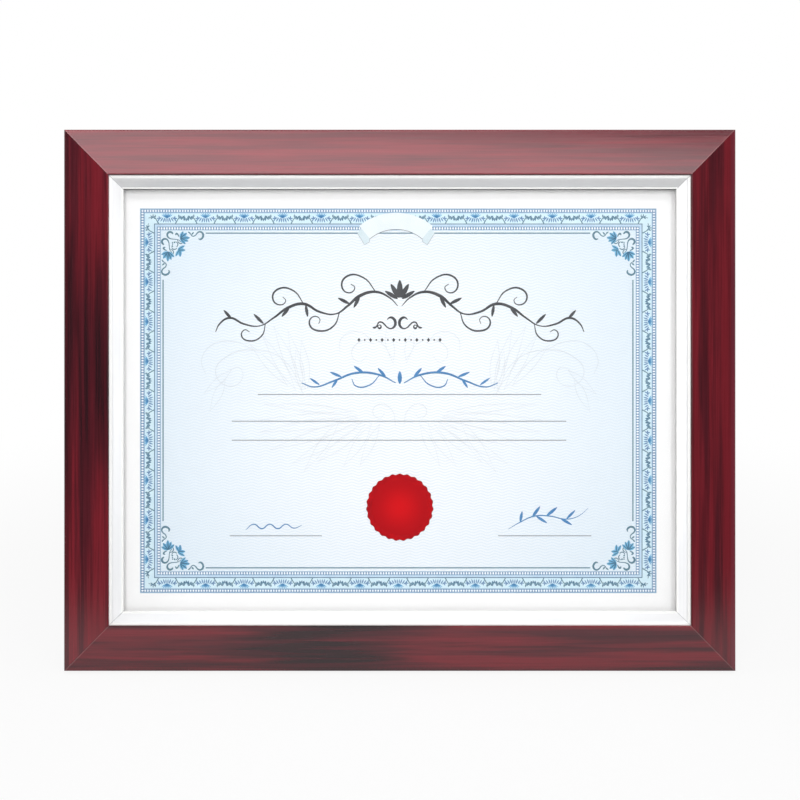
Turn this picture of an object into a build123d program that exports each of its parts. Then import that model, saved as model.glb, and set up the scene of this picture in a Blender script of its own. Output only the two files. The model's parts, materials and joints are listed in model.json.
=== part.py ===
from build123d import *
import os
from math import atan2, cos, degrees, pi, radians, sin, tan

# A certificate frame that stands on its easel leg.
# Sizes are in millimetres and degrees. Pieces are drawn flat and then stood up.
# Drawn flat: X runs across, Z runs up from the middle of the frame, and Y is depth,
# with 0 at the back of the rails, the front towards -Y and the easel towards +Y.

# Sheet and what lies behind the glass
document_width = 279.4
document_height = 215.9
document_thickness = 0.25
document_clearance = 0.6
glass_thickness = 2.0
filler_thickness = 2.5
board_thickness = 3.0
board_recess = 0.25
stack_gap = 0.3

# Red wafer seal on the sheet
seal_radius = 16.5
seal_scallop_depth = 0.6
seal_scallops = 27
seal_thickness = 0.25
seal_drop = 52.3

# Mahogany rails
rail_face = 23.6
rail_outer_depth = 8.0
rail_outer_round = 0.8
rail_inner_round = 0.6
lip_thickness = 1.5

# Silver slips
sight_overlap = 5.3
slip_nose = 1.0
slip_rise = 5.0
slip_land = 1.3
slip_shoulder_round = 2.4
slip_nose_land = 0.7
slip_nose_rise = 0.5
slip_nose_round = 0.25
slip_reveal = 1.2

# Corner v-nails
v_nail_leg = 5.0
v_nail_gauge = 0.5
v_nail_depth = 7.0
v_nail_half_angle = 50.0
v_nail_outer_inset = 8.0
v_nail_inner_inset = 16.0

# Turn buttons and their screws
button_x = 70.0
button_setback = 7.5
button_width = 8.0
button_thickness = 1.0
button_nose = 16.0
button_tail = 5.0
button_edge = 0.25
button_rib_radius = 0.8
button_rib_gap = 1.7
button_rib_margin = 5.0
button_float = 0.1
screw_radius = 1.1
screw_length = 8.0
screw_tip = 2.0
screw_head_radius = 2.3
screw_head_height = 1.4
screw_head_round = 0.7
screw_slot_length = 2.6
screw_slot_width = 0.6
screw_slot_depth = 0.8
running_clearance = 0.05
wood_clearance = 0.03

# Sawtooth hanger and its nails
hanger_bridge = 25.0
hanger_ramp = 2.0
hanger_foot = 7.5
hanger_height = 9.0
hanger_gauge = 0.8
hanger_offset = 1.8
hanger_inset = 6.0
hanger_tooth_pitch = 2.4
hanger_tooth_depth = 1.6
nail_radius = 0.8
nail_length = 9.0
nail_head_radius = 1.7
nail_head_height = 0.6

# Easel leg and how far the frame leans back on it
lean = 14.25
leg_open_angle = 24.0
leg_thickness = 3.0
leg_shoulder = 6.0
leg_foot_width = 76.0
leg_corner_round = 5.0
leg_play = 0.3

# Easel hinge
hinge_drop = 89.5
hinge_leaf_width = 34.0
hinge_leaf_length = 24.0
hinge_leaf_gauge = 1.0
hinge_leaf_round = 3.0
hinge_pin_radius = 1.5
hinge_pin_head_radius = 2.2
hinge_pin_head_height = 0.6
hinge_middle_knuckle = 12.0
hinge_knuckle_gap = 0.3

# Rivets
rivet_radius = 1.5
rivet_head_radius = 3.0
rivet_head_height = 0.8
rivet_head_round = 0.5
rivet_flare = 0.6
rivet_edge = 7.0

# Ribbon stay
ribbon_width = 10.0
ribbon_thickness = 0.4
ribbon_tab = 12.0
ribbon_bend = 0.8
ribbon_from_foot = 50.0
ribbon_fall = 18.0

# Sizes that follow: the sheet, the moulding round it and the stack behind it
slip_width = document_clearance + sight_overlap
opening_width = document_width + 2 * document_clearance
opening_height = document_height + 2 * document_clearance
outer_width = opening_width + 2 * rail_face
outer_height = opening_height + 2 * rail_face
sheet_stack = glass_thickness + seal_thickness + document_thickness
rebate_depth = sheet_stack + filler_thickness + board_thickness + board_recess
lip_front = rebate_depth + lip_thickness
lip_edge = rail_face + slip_width - slip_nose
slip_top = lip_front + slip_rise
rail_inner_depth = slip_top + slip_reveal
glass_back = glass_thickness - rebate_depth
sheet_front = glass_back + seal_thickness
sheet_back = sheet_front + document_thickness
board_front = sheet_back + filler_thickness
board_back = board_front + board_thickness

# Sizes that follow: the hanger
hanger_teeth = int(hanger_bridge / hanger_tooth_pitch) - 1
hanger_half = hanger_bridge / 2 + hanger_ramp + hanger_foot
hanger_nail_x = (hanger_foot / 2 - hanger_half, hanger_half - hanger_foot / 2)
hanger_z = outer_height / 2 - hanger_inset - hanger_height / 2

# Sizes that follow: the hinge stands off the board as far as its knuckle, or the folded ribbon
# with its rivets under the closed leg, needs
knuckle_radius = hinge_pin_radius + running_clearance + hinge_leaf_gauge
knuckle_clear = knuckle_radius + hinge_knuckle_gap
outer_knuckle_start = hinge_middle_knuckle / 2 + hinge_knuckle_gap
leg_board_gap = ribbon_thickness + rivet_head_height + leg_play
leg_stand_off = leg_board_gap + leg_thickness + hinge_leaf_gauge - knuckle_radius
hinge_y = board_back + max(knuckle_clear, leg_stand_off)
hinge_height = outer_height - hinge_drop
hinge_z = hinge_height - outer_height / 2
leg_back = hinge_y + knuckle_radius - hinge_leaf_gauge
leg_front = leg_back - leg_thickness
leg_top_width = hinge_leaf_width + 2 * leg_shoulder
rivet_from_axis = (knuckle_clear + hinge_leaf_length) / 2
rivet_x = (rivet_edge - hinge_leaf_width / 2, hinge_leaf_width / 2 - rivet_edge)

# The leg reaches from the hinge to the floor, which passes under the back bottom edge of the frame
open_sin = sin(radians(leg_open_angle))
open_cos = cos(radians(leg_open_angle))
lean_slope = tan(radians(lean))
leg_length = (hinge_height - hinge_y * lean_slope) / (open_cos + open_sin * lean_slope)
ribbon_leg_reach = leg_length - ribbon_from_foot
ribbon_board_reach = ribbon_leg_reach - ribbon_fall

# Turn about Y, outer length and distance from the middle for each side of the frame
sides = {
    "bottom": (0, outer_width, outer_height / 2),
    "left": (90, outer_height, outer_width / 2),
    "top": (180, outer_width, outer_height / 2),
    "right": (270, outer_height, outer_width / 2),
}

# Pivot across and up, and the turn that points the nose over the board
button_up = opening_height / 2 + button_setback
button_out = opening_width / 2 + button_setback
buttons = {
    "turn_button_top_left": (-button_x, button_up, 90),
    "turn_button_top_right": (button_x, button_up, 90),
    "turn_button_bottom_left": (-button_x, -button_up, -90),
    "turn_button_bottom_right": (button_x, -button_up, -90),
    "turn_button_left": (-button_out, 0, 0),
    "turn_button_right": (button_out, 0, 180),
}

# Fasteners are drawn along Z from a seat at 0, with the head up
to_back = Rot(-90, 0, 0)
to_front = Rot(90, 0, 0)
on_seat = (Align.CENTER, Align.CENTER, Align.MIN)
under_seat = (Align.CENTER, Align.CENTER, Align.MAX)
leg_swing = Pos(0, hinge_y, hinge_z) * Rot(leg_open_angle, 0, 0) * Pos(0, -hinge_y, -hinge_z)


def corner(sketch, point):
    # The corner of a flat outline that lies at a point.
    return sketch.vertices().sort_by_distance((*point, 0))[0]


def slab(width, height, front, back):
    # A sheet, pane or board in the middle of the frame, between two depths.
    return Pos(0, (front + back) / 2, 0) * Box(width, back - front, height)


def mitred_side(section, side):
    # A length of moulding whose section is given inwards and forwards, cut at 45 degrees at both ends.
    turn, run, reach = sides[side]
    across = Plane(origin=(-run / 2, 0, -reach), x_dir=(0, 0, 1), z_dir=(1, 0, 0))
    bar = extrude(across * section, amount=run)
    inner = rail_face + slip_width
    face = Polyline(
        (-run / 2, -reach),
        (run / 2, -reach),
        (run / 2 - inner, inner - reach),
        (inner - run / 2, inner - reach),
        close=True,
    )
    return Rot(0, turn, 0) * (bar & extrude(Plane.XZ * make_face(face), amount=rail_inner_depth))


def rail_section():
    # Wood face that slopes back to the outer edge, with a lip in front of the glass.
    outer_edge = (0, rail_outer_depth)
    inner_edge = (rail_face, rail_inner_depth)
    outline = Polyline(
        (0, 0),
        outer_edge,
        inner_edge,
        (rail_face, lip_front),
        (lip_edge, lip_front),
        (lip_edge, rebate_depth),
        (rail_face, rebate_depth),
        (rail_face, 0),
        close=True,
    )
    section = make_face(outline)
    section = fillet(corner(section, outer_edge), rail_outer_round)
    return fillet(corner(section, inner_edge), rail_inner_round)


def slip_section():
    # Silver strip that sits on the wood lip, falls to a narrow flat nose and wraps over the lip's edge.
    sight = rail_face + slip_width
    shoulder = (rail_face + slip_land, slip_top)
    nose = (sight, lip_front + slip_nose_rise)
    outline = Polyline(
        (rail_face, lip_front),
        (rail_face, slip_top),
        shoulder,
        (sight - slip_nose_land, lip_front + slip_nose_rise),
        nose,
        (sight, rebate_depth),
        (lip_edge, rebate_depth),
        (lip_edge, lip_front),
        close=True,
    )
    section = make_face(outline)
    section = fillet(corner(section, shoulder), slip_shoulder_round)
    return fillet(corner(section, nose), slip_nose_round)


def v_nails():
    # Two steel vees across the mitre at each corner, driven in flush from the back.
    leg = Box(v_nail_leg, v_nail_depth, v_nail_gauge, align=(Align.MAX, Align.MAX, Align.CENTER))
    vee = Rot(0, v_nail_half_angle, 0) * leg + Rot(0, -v_nail_half_angle, 0) * leg
    placed = []
    for x_side in (-1, 1):
        for z_side in (-1, 1):
            inwards = degrees(atan2(z_side, -x_side))
            for inset in (v_nail_outer_inset, v_nail_inner_inset):
                x = x_side * (outer_width / 2 - inset)
                z = z_side * (outer_height / 2 - inset)
                placed.append(Pos(x, 0, z) * Rot(0, inwards, 0) * vee)
    return placed


def wafer_seal():
    # Disc with a wavy edge, each wave an arc over its crest and an arc through the valley beside it.
    def on_circle(radius, step):
        angle = 2 * pi * step / seal_scallops
        return (radius * sin(angle), radius * cos(angle))

    valley = seal_radius - seal_scallop_depth
    middle = (seal_radius + valley) / 2
    edge = []
    for i in range(seal_scallops):
        for radius, step in ((seal_radius, i + 0.5), (valley, i + 1)):
            ends = (on_circle(middle, step - 0.25), on_circle(middle, step + 0.25))
            edge.append(ThreePointArc(ends[0], on_circle(radius, step), ends[1]))
    disc = extrude(Plane.XZ * make_face(edge), amount=seal_thickness)
    return Pos(0, sheet_front, -seal_drop) * disc


def screw_shank(clearance=0.0):
    # The length of screw in the wood, or with a clearance the hole that takes it.
    radius = screw_radius + clearance
    shank = Cylinder(radius, screw_length - screw_tip, align=under_seat)
    tip = Cone(0, radius, screw_tip, align=under_seat)
    return shank + Pos(0, 0, screw_tip - screw_length) * tip


def screw():
    # Pan-head screw with a cross recess, whose neck stands clear of the wood by the button's thickness.
    seat = button_thickness + 2 * button_float
    head = Cylinder(screw_head_radius, screw_head_height, align=on_seat)
    head = fillet(head.faces().sort_by(Axis.Z)[-1].edges(), screw_head_round)
    slot = Box(screw_slot_length, screw_slot_width, screw_slot_depth, align=under_seat)
    recess = Pos(0, 0, screw_head_height) * (slot + Rot(0, 0, 90) * slot)
    neck = Cylinder(screw_radius, seat, align=on_seat)
    return screw_shank() + neck + Pos(0, 0, seat) * (head - recess)


def turn_button():
    # Pressed steel tab with round ends, a stiffening rib and a hole for its screw.
    run = button_nose + button_tail - button_width
    outline = Pos((button_nose - button_tail) / 2, 0) * SlotCenterToCenter(run, button_width)
    plate = extrude(outline, amount=button_thickness)
    plate = chamfer(plate.faces().sort_by(Axis.Z)[-1].edges(), button_edge)
    rib_start = screw_head_radius + button_rib_radius + button_rib_gap
    rib_end = button_nose - button_rib_margin
    rib_run = rib_end - rib_start
    rib = Rot(0, 90, 0) * Cylinder(button_rib_radius, rib_run)
    rib = rib + [Pos(x, 0, 0) * Sphere(button_rib_radius) for x in (-rib_run / 2, rib_run / 2)]
    rib = rib & Box(button_nose, button_width, button_rib_radius, align=on_seat)
    hole = Cylinder(screw_radius + running_clearance, button_thickness, align=on_seat)
    plate = plate - hole + Pos((rib_start + rib_end) / 2, 0, button_thickness) * rib
    return Pos(0, 0, button_float) * plate


def nail_shank(clearance=0.0):
    # The length of nail in the wood, or with a clearance the hole that takes it.
    return Cylinder(nail_radius + clearance, nail_length, align=under_seat)


def nail():
    # Flat-head nail through the foot of the hanger.
    neck = Cylinder(nail_radius, hanger_gauge, align=on_seat)
    head = Cylinder(nail_head_radius, nail_head_height, align=on_seat)
    return nail_shank() + neck + Pos(0, 0, hanger_gauge) * head


def sawtooth_hanger():
    # Strip bent into a low bridge, with teeth along its lower edge for a wall nail.
    under = [
        (-hanger_half, 0),
        (hanger_foot - hanger_half, 0),
        (-hanger_bridge / 2, hanger_offset),
    ]
    under = under + [(-x, z) for x, z in reversed(under)]
    over = [(x, z + hanger_gauge) for x, z in reversed(under)]
    side_view = make_face(Polyline(*under, *over, close=True))
    strip = extrude(Plane.XZ * side_view, amount=hanger_height / 2, both=True)
    tooth = Polyline(
        (-hanger_tooth_pitch / 2, 0),
        (hanger_tooth_pitch / 2, 0),
        (0, -hanger_tooth_depth),
        close=True,
    )
    notch = extrude(make_face(tooth), amount=hanger_offset + hanger_gauge)
    first = -hanger_tooth_pitch * (hanger_teeth - 1) / 2
    steps = [first + i * hanger_tooth_pitch for i in range(hanger_teeth)]
    hole = Cylinder(nail_radius + running_clearance, hanger_gauge, align=on_seat)
    strip = strip - [Pos(x, hanger_height / 2, 0) * notch for x in steps]
    return strip - [Pos(x, 0, 0) * hole for x in hanger_nail_x]


def rivet_shank(grip, clearance=0.0):
    # Shank through a stack of the given thickness with its far end flared flush, or its hole.
    radius = rivet_radius + clearance
    flare = Cone(radius + rivet_flare, radius, rivet_flare, align=on_seat)
    return Cylinder(radius, grip, align=under_seat) + Pos(0, 0, -grip) * flare


def rivet(grip):
    # Rivet with a rounded head.
    head = Cylinder(rivet_head_radius, rivet_head_height, align=on_seat)
    return rivet_shank(grip) + fillet(head.faces().sort_by(Axis.Z)[-1].edges(), rivet_head_round)


def board_rivet_spots():
    # Seats of two rivets in the hinge leaf and one in the ribbon's upper tab, with their grips.
    leaf_face = board_back + hinge_leaf_gauge
    spots = [(Pos(x, leaf_face, hinge_z + rivet_from_axis), hinge_leaf_gauge) for x in rivet_x]
    tab_z = hinge_z - ribbon_board_reach + ribbon_tab / 2
    spots.append((Pos(0, board_back + ribbon_thickness, tab_z), ribbon_thickness))
    return [(spot * to_back, held + board_thickness) for spot, held in spots]


def leg_rivet_spots():
    # Seats of two rivets in the hinge leaf and, headed on the board side, one in the ribbon's lower tab.
    leaf_face = leg_back + hinge_leaf_gauge
    leaf_grip = hinge_leaf_gauge + leg_thickness
    spots = [(Pos(x, leaf_face, hinge_z - rivet_from_axis) * to_back, leaf_grip) for x in rivet_x]
    tab_z = hinge_z - ribbon_leg_reach - ribbon_tab / 2
    tab_seat = Pos(0, leg_front - ribbon_thickness, tab_z)
    return spots + [(tab_seat * to_front, ribbon_thickness + leg_thickness)]


def rivets(spots):
    return [spot * rivet(grip) for spot, grip in spots]


def rivet_holes(spots, clearance):
    return [spot * rivet_shank(grip, clearance) for spot, grip in spots]


def on_axis(radius, start, end):
    # A round bar along the hinge axis, between two places across.
    return Pos(start, hinge_y, hinge_z) * Rot(0, 90, 0) * Cylinder(radius, end - start, align=on_seat)


def block(x_ends, y_ends, z_ends):
    # A plain block between two places across, in depth and in height.
    ends = (x_ends, y_ends, z_ends)
    middle = [(low + high) / 2 for low, high in ends]
    return Pos(*middle) * Box(*[abs(high - low) for low, high in ends])


def leaf_plate(front, near, far):
    # Flat leaf between two heights, with the two corners away from the hinge rounded.
    half = hinge_leaf_width / 2
    plate = block((-half, half), (front, front + hinge_leaf_gauge), (near, far))
    free = plate.edges().filter_by(Axis.Y).sort_by(lambda edge: abs(edge.center().Z - far))[:2]
    return fillet(free, hinge_leaf_round)


def hinge_board_leaf():
    # Leaf riveted to the board, with an upstand and a knuckle at each end of the pin.
    near = hinge_z + knuckle_clear
    leaf = leaf_plate(board_back, near, hinge_z + hinge_leaf_length)
    half = hinge_leaf_width / 2
    upstand = hinge_z + knuckle_radius - hinge_leaf_gauge
    for ends in ((-half, -outer_knuckle_start), (outer_knuckle_start, half)):
        leaf = leaf + block(ends, (board_back, board_back + hinge_leaf_gauge), (upstand, near))
        leaf = leaf + block(ends, (board_back, hinge_y), (upstand, upstand + hinge_leaf_gauge))
        leaf = leaf + on_axis(knuckle_radius, *ends)
    leaf = leaf - on_axis(hinge_pin_radius + running_clearance, -half, half)
    return leaf - rivet_holes(board_rivet_spots(), running_clearance)


def hinge_leg_leaf():
    # Leaf riveted to the leg, with one knuckle between the other two.
    near = hinge_z - knuckle_clear
    half = hinge_middle_knuckle / 2
    leaf = leaf_plate(leg_back, near, hinge_z - hinge_leaf_length)
    leaf = leaf + block((-half, half), (leg_back, leg_back + hinge_leaf_gauge), (near, hinge_z))
    leaf = leaf + on_axis(knuckle_radius, -half, half)
    leaf = leaf - on_axis(hinge_pin_radius + running_clearance, -half, half)
    return leaf - rivet_holes(leg_rivet_spots(), running_clearance)


def hinge_pin():
    # Pin with a peened head past each outer knuckle.
    half = hinge_leaf_width / 2
    pin = on_axis(hinge_pin_radius, -half, half)
    pin = pin + on_axis(hinge_pin_head_radius, -half - hinge_pin_head_height, -half)
    return pin + on_axis(hinge_pin_head_radius, half, half + hinge_pin_head_height)


def easel_leg():
    # Board that widens to its foot, with a thickness to spare there for the floor to trim.
    top = hinge_z - knuckle_clear
    foot = hinge_z - leg_length - leg_thickness
    crown = ((-leg_top_width / 2, top), (leg_top_width / 2, top))
    outline = Polyline(*crown, (leg_foot_width / 2, foot), (-leg_foot_width / 2, foot), close=True)
    face = make_face(outline)
    face = fillet([corner(face, point) for point in crown], leg_corner_round)
    blank = Pos(0, leg_back, 0) * extrude(Plane.XZ * face, amount=leg_thickness)
    return blank - rivet_holes(leg_rivet_spots(), wood_clearance)


def ribbon_stay():
    # Taut ribbon from the board to the open leg, with a tab flat on each.
    down_leg = Vector(open_sin, -open_cos)
    off_leg = Vector(-open_cos, -open_sin)
    half = ribbon_thickness / 2
    board_end = Vector(board_back + half, hinge_z - ribbon_board_reach)
    leg_end = Vector(hinge_y, hinge_z) + down_leg * ribbon_leg_reach + off_leg * (hinge_y - leg_front + half)
    path = FilletPolyline(
        board_end + Vector(0, ribbon_tab),
        board_end,
        leg_end,
        leg_end + down_leg * ribbon_tab,
        radius=ribbon_bend,
    )
    profile = Plane.YZ * trace(path, ribbon_thickness)
    strip = extrude(profile, amount=ribbon_width / 2, both=True)
    strip = strip - rivet_holes(board_rivet_spots(), running_clearance)
    return strip - swung(rivet_holes(leg_rivet_spots(), running_clearance))


def swung(shapes):
    # Pieces of the leg, turned out to the open angle.
    return [leg_swing * shape for shape in shapes]


def moulding():
    # The four rails with the holes for what is driven into their backs, and the four slips.
    holes = [Pos(x, 0, z) * to_back * screw_shank(wood_clearance) for x, z, _ in buttons.values()]
    holes += [Pos(x, 0, hanger_z) * to_back * nail_shank(wood_clearance) for x in hanger_nail_x]
    vees = v_nails()
    made = {"corner_v_nails": Compound(vees)}
    for side in sides:
        made["rail_" + side] = mitred_side(rail_section(), side) - holes - vees
        made["silver_slip_" + side] = mitred_side(slip_section(), side)
    return made


def filling():
    # What lies in the rebate, from the glass to the board.
    width = opening_width - 2 * stack_gap
    height = opening_height - 2 * stack_gap
    board = slab(width, height, board_front, board_back)
    return {
        "glazing_pane": slab(width, height, -rebate_depth, glass_back),
        "wafer_seal": wafer_seal(),
        "certificate_sheet": slab(document_width, document_height, sheet_front, sheet_back),
        "filler_card": slab(width, height, sheet_back, board_front),
        "backing_board": board - rivet_holes(board_rivet_spots(), wood_clearance),
    }


def back_fittings():
    # Turn buttons with their screws, and the hanger with its nails.
    made = {}
    for name, (x, z, turn) in buttons.items():
        made[name] = Pos(x, 0, z) * to_back * Rot(0, 0, turn) * turn_button()
    made["turn_button_screws"] = Compound([Pos(x, 0, z) * to_back * screw() for x, z, _ in buttons.values()])
    made["sawtooth_hanger"] = Pos(0, 0, hanger_z) * to_back * sawtooth_hanger()
    made["hanger_nails"] = Compound([Pos(x, 0, hanger_z) * to_back * nail() for x in hanger_nail_x])
    return made


def easel():
    # The hinge, the ribbon and the leg at its open angle.
    return {
        "hinge_board_leaf": hinge_board_leaf(),
        "hinge_pin": hinge_pin(),
        "board_rivets": Compound(rivets(board_rivet_spots())),
        "ribbon_stay": ribbon_stay(),
        "easel_leg": leg_swing * easel_leg(),
        "hinge_leg_leaf": leg_swing * hinge_leg_leaf(),
        "leg_rivets": Compound(swung(rivets(leg_rivet_spots()))),
    }


def above_floor(shape):
    # What is left of a standing piece once the floor has trimmed it.
    side = outer_width + outer_height
    return shape & Box(side, side, side, align=on_seat)


drawn_flat = moulding() | filling() | back_fittings() | easel()
lean_back = Rot(-lean, 0, 0) * Pos(0, 0, outer_height / 2)
leaning = {name: lean_back * shape for name, shape in drawn_flat.items()}
leaning["easel_leg"] = above_floor(leaning["easel_leg"])
footprint = Compound(list(leaning.values())).bounding_box()
to_origin = Pos(0, -footprint.center().Y, 0)
pieces = {name: to_origin * shape for name, shape in leaning.items()}

os.makedirs("parts", exist_ok=True)
for name, shape in pieces.items():
    export_step(shape, f"parts/{name}.step")
print(f"outer {outer_width:.2f} x {outer_height:.2f} mm, leg {leg_length:.2f} mm, leaning {lean} degrees")
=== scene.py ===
import json
from math import atan2, cos, pi, radians, sin

import bmesh
import bpy
from mathutils import Matrix, Vector


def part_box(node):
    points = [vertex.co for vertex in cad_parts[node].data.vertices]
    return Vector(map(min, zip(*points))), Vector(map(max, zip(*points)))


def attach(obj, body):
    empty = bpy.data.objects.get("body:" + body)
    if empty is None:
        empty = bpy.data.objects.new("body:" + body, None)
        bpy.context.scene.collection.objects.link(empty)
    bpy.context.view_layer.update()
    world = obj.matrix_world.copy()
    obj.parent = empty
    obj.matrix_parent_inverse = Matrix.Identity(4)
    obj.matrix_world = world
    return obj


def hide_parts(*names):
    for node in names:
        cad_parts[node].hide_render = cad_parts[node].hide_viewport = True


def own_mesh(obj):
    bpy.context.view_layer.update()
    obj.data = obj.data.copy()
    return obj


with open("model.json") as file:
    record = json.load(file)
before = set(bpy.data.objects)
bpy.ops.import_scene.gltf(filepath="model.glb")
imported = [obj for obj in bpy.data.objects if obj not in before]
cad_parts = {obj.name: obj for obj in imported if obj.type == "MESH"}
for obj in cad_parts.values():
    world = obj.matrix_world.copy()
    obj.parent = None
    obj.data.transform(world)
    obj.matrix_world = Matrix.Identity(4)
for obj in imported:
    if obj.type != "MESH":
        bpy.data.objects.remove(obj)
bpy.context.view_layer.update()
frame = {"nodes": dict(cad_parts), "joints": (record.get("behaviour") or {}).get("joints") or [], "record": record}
scene = bpy.context.scene
scene.view_settings.view_transform = "Standard"
nodes = frame["nodes"]
joints = {joint["name"]: joint for joint in frame["joints"]}
mounts = {mount["name"]: mount for mount in frame["record"]["mounts"]}
print("frame loaded,", len(nodes), "nodes")

# Directions of the leaning frame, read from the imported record
across = Vector((1, 0, 0))
up = -Vector(mounts["rail_underside"]["axis"]).normalized()
front = across.cross(up)
lean = atan2(up.y, up.z)
sheetLow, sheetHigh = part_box("certificate_sheet")
sheetMiddle = (sheetLow + sheetHigh) / 2


def standing(origin):  # local X across, Y up the face, Z towards the viewer
    return Matrix.Translation(origin) @ Matrix((across, up, front)).transposed().to_4x4()


# Where things were in the photo, in its pixels on the sheet
sheetLayout = {
    "pixel": 1 / 2042,  # metres
    "middle": (399.8, 400.3),
    "halfThick": 0.000125,
}
pixel = sheetLayout["pixel"]
sheetPlace = standing(sheetMiddle + front * sheetLayout["halfThick"])


def atPixel(x, y):
    return Vector(((x - sheetLayout["middle"][0]) * pixel, (sheetLayout["middle"][1] - y) * pixel, 0))


# Node helpers
def srgb(red, green, blue):
    channels = [c / 255 for c in (red, green, blue)]
    return tuple(c / 12.92 if c <= 0.04045 else ((c + 0.055) / 1.055) ** 2.4 for c in channels) + (1,)


def makeNode(tree, kind, **values):
    made = tree.nodes.new(kind)
    for name, value in values.items():
        setattr(made, name, value)
    return made


def feed(tree, source, target):
    if isinstance(source, bpy.types.NodeSocket):
        tree.links.new(source, target)
    else:
        target.default_value = source


def calc(tree, operation, *terms):
    made = makeNode(tree, "ShaderNodeMath", operation=operation)
    for socket, term in zip(made.inputs, terms):
        feed(tree, term, socket)
    return made.outputs[0]


def fade(tree, value, low, high, start=0.0, end=1.0):
    made = makeNode(tree, "ShaderNodeMapRange", interpolation_type="SMOOTHSTEP")
    for socket, term in zip(made.inputs, (value, low, high, start, end)):
        feed(tree, term, socket)
    return made.outputs[0]


def mixColour(tree, share, first, second, blend="MIX"):
    made = makeNode(tree, "ShaderNodeMix", data_type="RGBA", blend_type=blend)
    feed(tree, share, made.inputs[0])
    feed(tree, first, made.inputs[6])
    feed(tree, second, made.inputs[7])
    return made.outputs[2]


def noise(tree, vector, scale=1.0, detail=2.0, rough=0.5, twist=0.0):
    made = makeNode(tree, "ShaderNodeTexNoise")
    tree.links.new(vector, made.inputs["Vector"])
    for name, value in (("Scale", scale), ("Detail", detail), ("Roughness", rough), ("Distortion", twist)):
        made.inputs[name].default_value = value
    return made.outputs[0]


def mapped(tree, vector, scale=(1, 1, 1), turn=(0, 0, 0), move=(0, 0, 0)):
    made = makeNode(tree, "ShaderNodeMapping", vector_type="POINT")
    tree.links.new(vector, made.inputs["Vector"])
    made.inputs["Location"].default_value = move
    made.inputs["Rotation"].default_value = turn
    made.inputs["Scale"].default_value = scale
    return made.outputs[0]


def split(tree, vector):
    made = makeNode(tree, "ShaderNodeSeparateXYZ")
    tree.links.new(vector, made.inputs[0])
    return made.outputs


def leaningCoords(tree, origin=None):  # Object coordinates turned to across, up and front from an origin
    origin = sheetMiddle if origin is None else origin
    turned = Matrix((across, up, front))
    coords = makeNode(tree, "ShaderNodeTexCoord").outputs["Object"]
    return mapped(tree, coords, turn=(lean - pi / 2, 0, 0), move=-(turned @ origin))


def makeGroup(name, inputs, outputs):
    tree = bpy.data.node_groups.new(name, "ShaderNodeTree")
    kinds = {"Vector": "NodeSocketVector", "Color": "NodeSocketColor"}
    for label in inputs:
        tree.interface.new_socket(label, in_out="INPUT", socket_type=kinds.get(label, "NodeSocketFloat"))
    for label in outputs:
        tree.interface.new_socket(label, in_out="OUTPUT", socket_type=kinds.get(label, "NodeSocketFloat"))
    return tree, makeNode(tree, "NodeGroupInput").outputs, makeNode(tree, "NodeGroupOutput").inputs


def placeGroup(tree, group, vector, **values):
    made = makeNode(tree, "ShaderNodeGroup", node_tree=group)
    tree.links.new(vector, made.inputs["Vector"])
    for name, value in values.items():
        made.inputs[name].default_value = value
    return made.outputs


def makeMaterial(name, **plain):  # plain values go on the shader's own sockets
    material = bpy.data.materials.new(name)
    material.use_nodes = True
    tree = material.node_tree
    shader = tree.nodes["Principled BSDF"]
    for label, value in plain.items():
        shader.inputs[label.replace("_", " ")].default_value = value
    return material, tree, shader


def plug(tree, sockets, **sources):  # joins what varies over the surface
    for label, source in sources.items():
        tree.links.new(source, sockets[label.replace("_", " ")])


def mixShaders(tree, share, first, second, output):
    made = makeNode(tree, "ShaderNodeMixShader")
    for source, socket in zip((share, first.outputs[0], second.outputs[0]), made.inputs):
        tree.links.new(source, socket)
    tree.links.new(made.outputs[0], tree.nodes[output].inputs["Surface"])


def bump(tree, shader, height, strength, distance):
    made = makeNode(tree, "ShaderNodeBump")
    made.inputs["Strength"].default_value = strength
    made.inputs["Distance"].default_value = distance
    tree.links.new(height, made.inputs["Height"])
    tree.links.new(made.outputs[0], shader.inputs["Normal"])


# Mahogany: soft maroon and red figure, dark streaks thickest round a heart, and fine grain lines
woodLook = {
    "red": srgb(112, 27, 37),
    "maroon": srgb(74, 21, 30),
    "dark": srgb(30, 14, 19),
    "raw": srgb(138, 96, 68),
    "rawLight": srgb(192, 148, 112),
    # painted highlight: a pale line along the mitres of the rails across
    "edge": srgb(206, 140, 140),
    "joint": srgb(40, 16, 20),
    # plum: ink of the painted shade on the right rail's outer rim
    "plum": srgb(104, 44, 58),
    "shade": srgb(58, 36, 38),
    "figureScale": (7, 180, 180),  # along and across the grain, per metre
    "figureMove": (11, 2, 5),
    "streakScale": (12, 270, 270),
    "fineScale": (26, 1700, 1700),
    "figureBand": (0.36, 0.66),
    "streakBand": (0.5, 0.86),
    "heartPull": (0.16, 0.2),  # on the figure and on the streaks
    "lineTone": (0.25, 0.75, 0.84, 1.12),
    "polish": (0.3, 0.7, 0.1, 0.14),
    "ringShares": (0.55, 0.45),  # of the figure and of the fine lines
    "ringBand": (0.36, 0.62),
    "bareRough": 0.5,
    "relief": (0.05, 0.0002),
}


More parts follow.
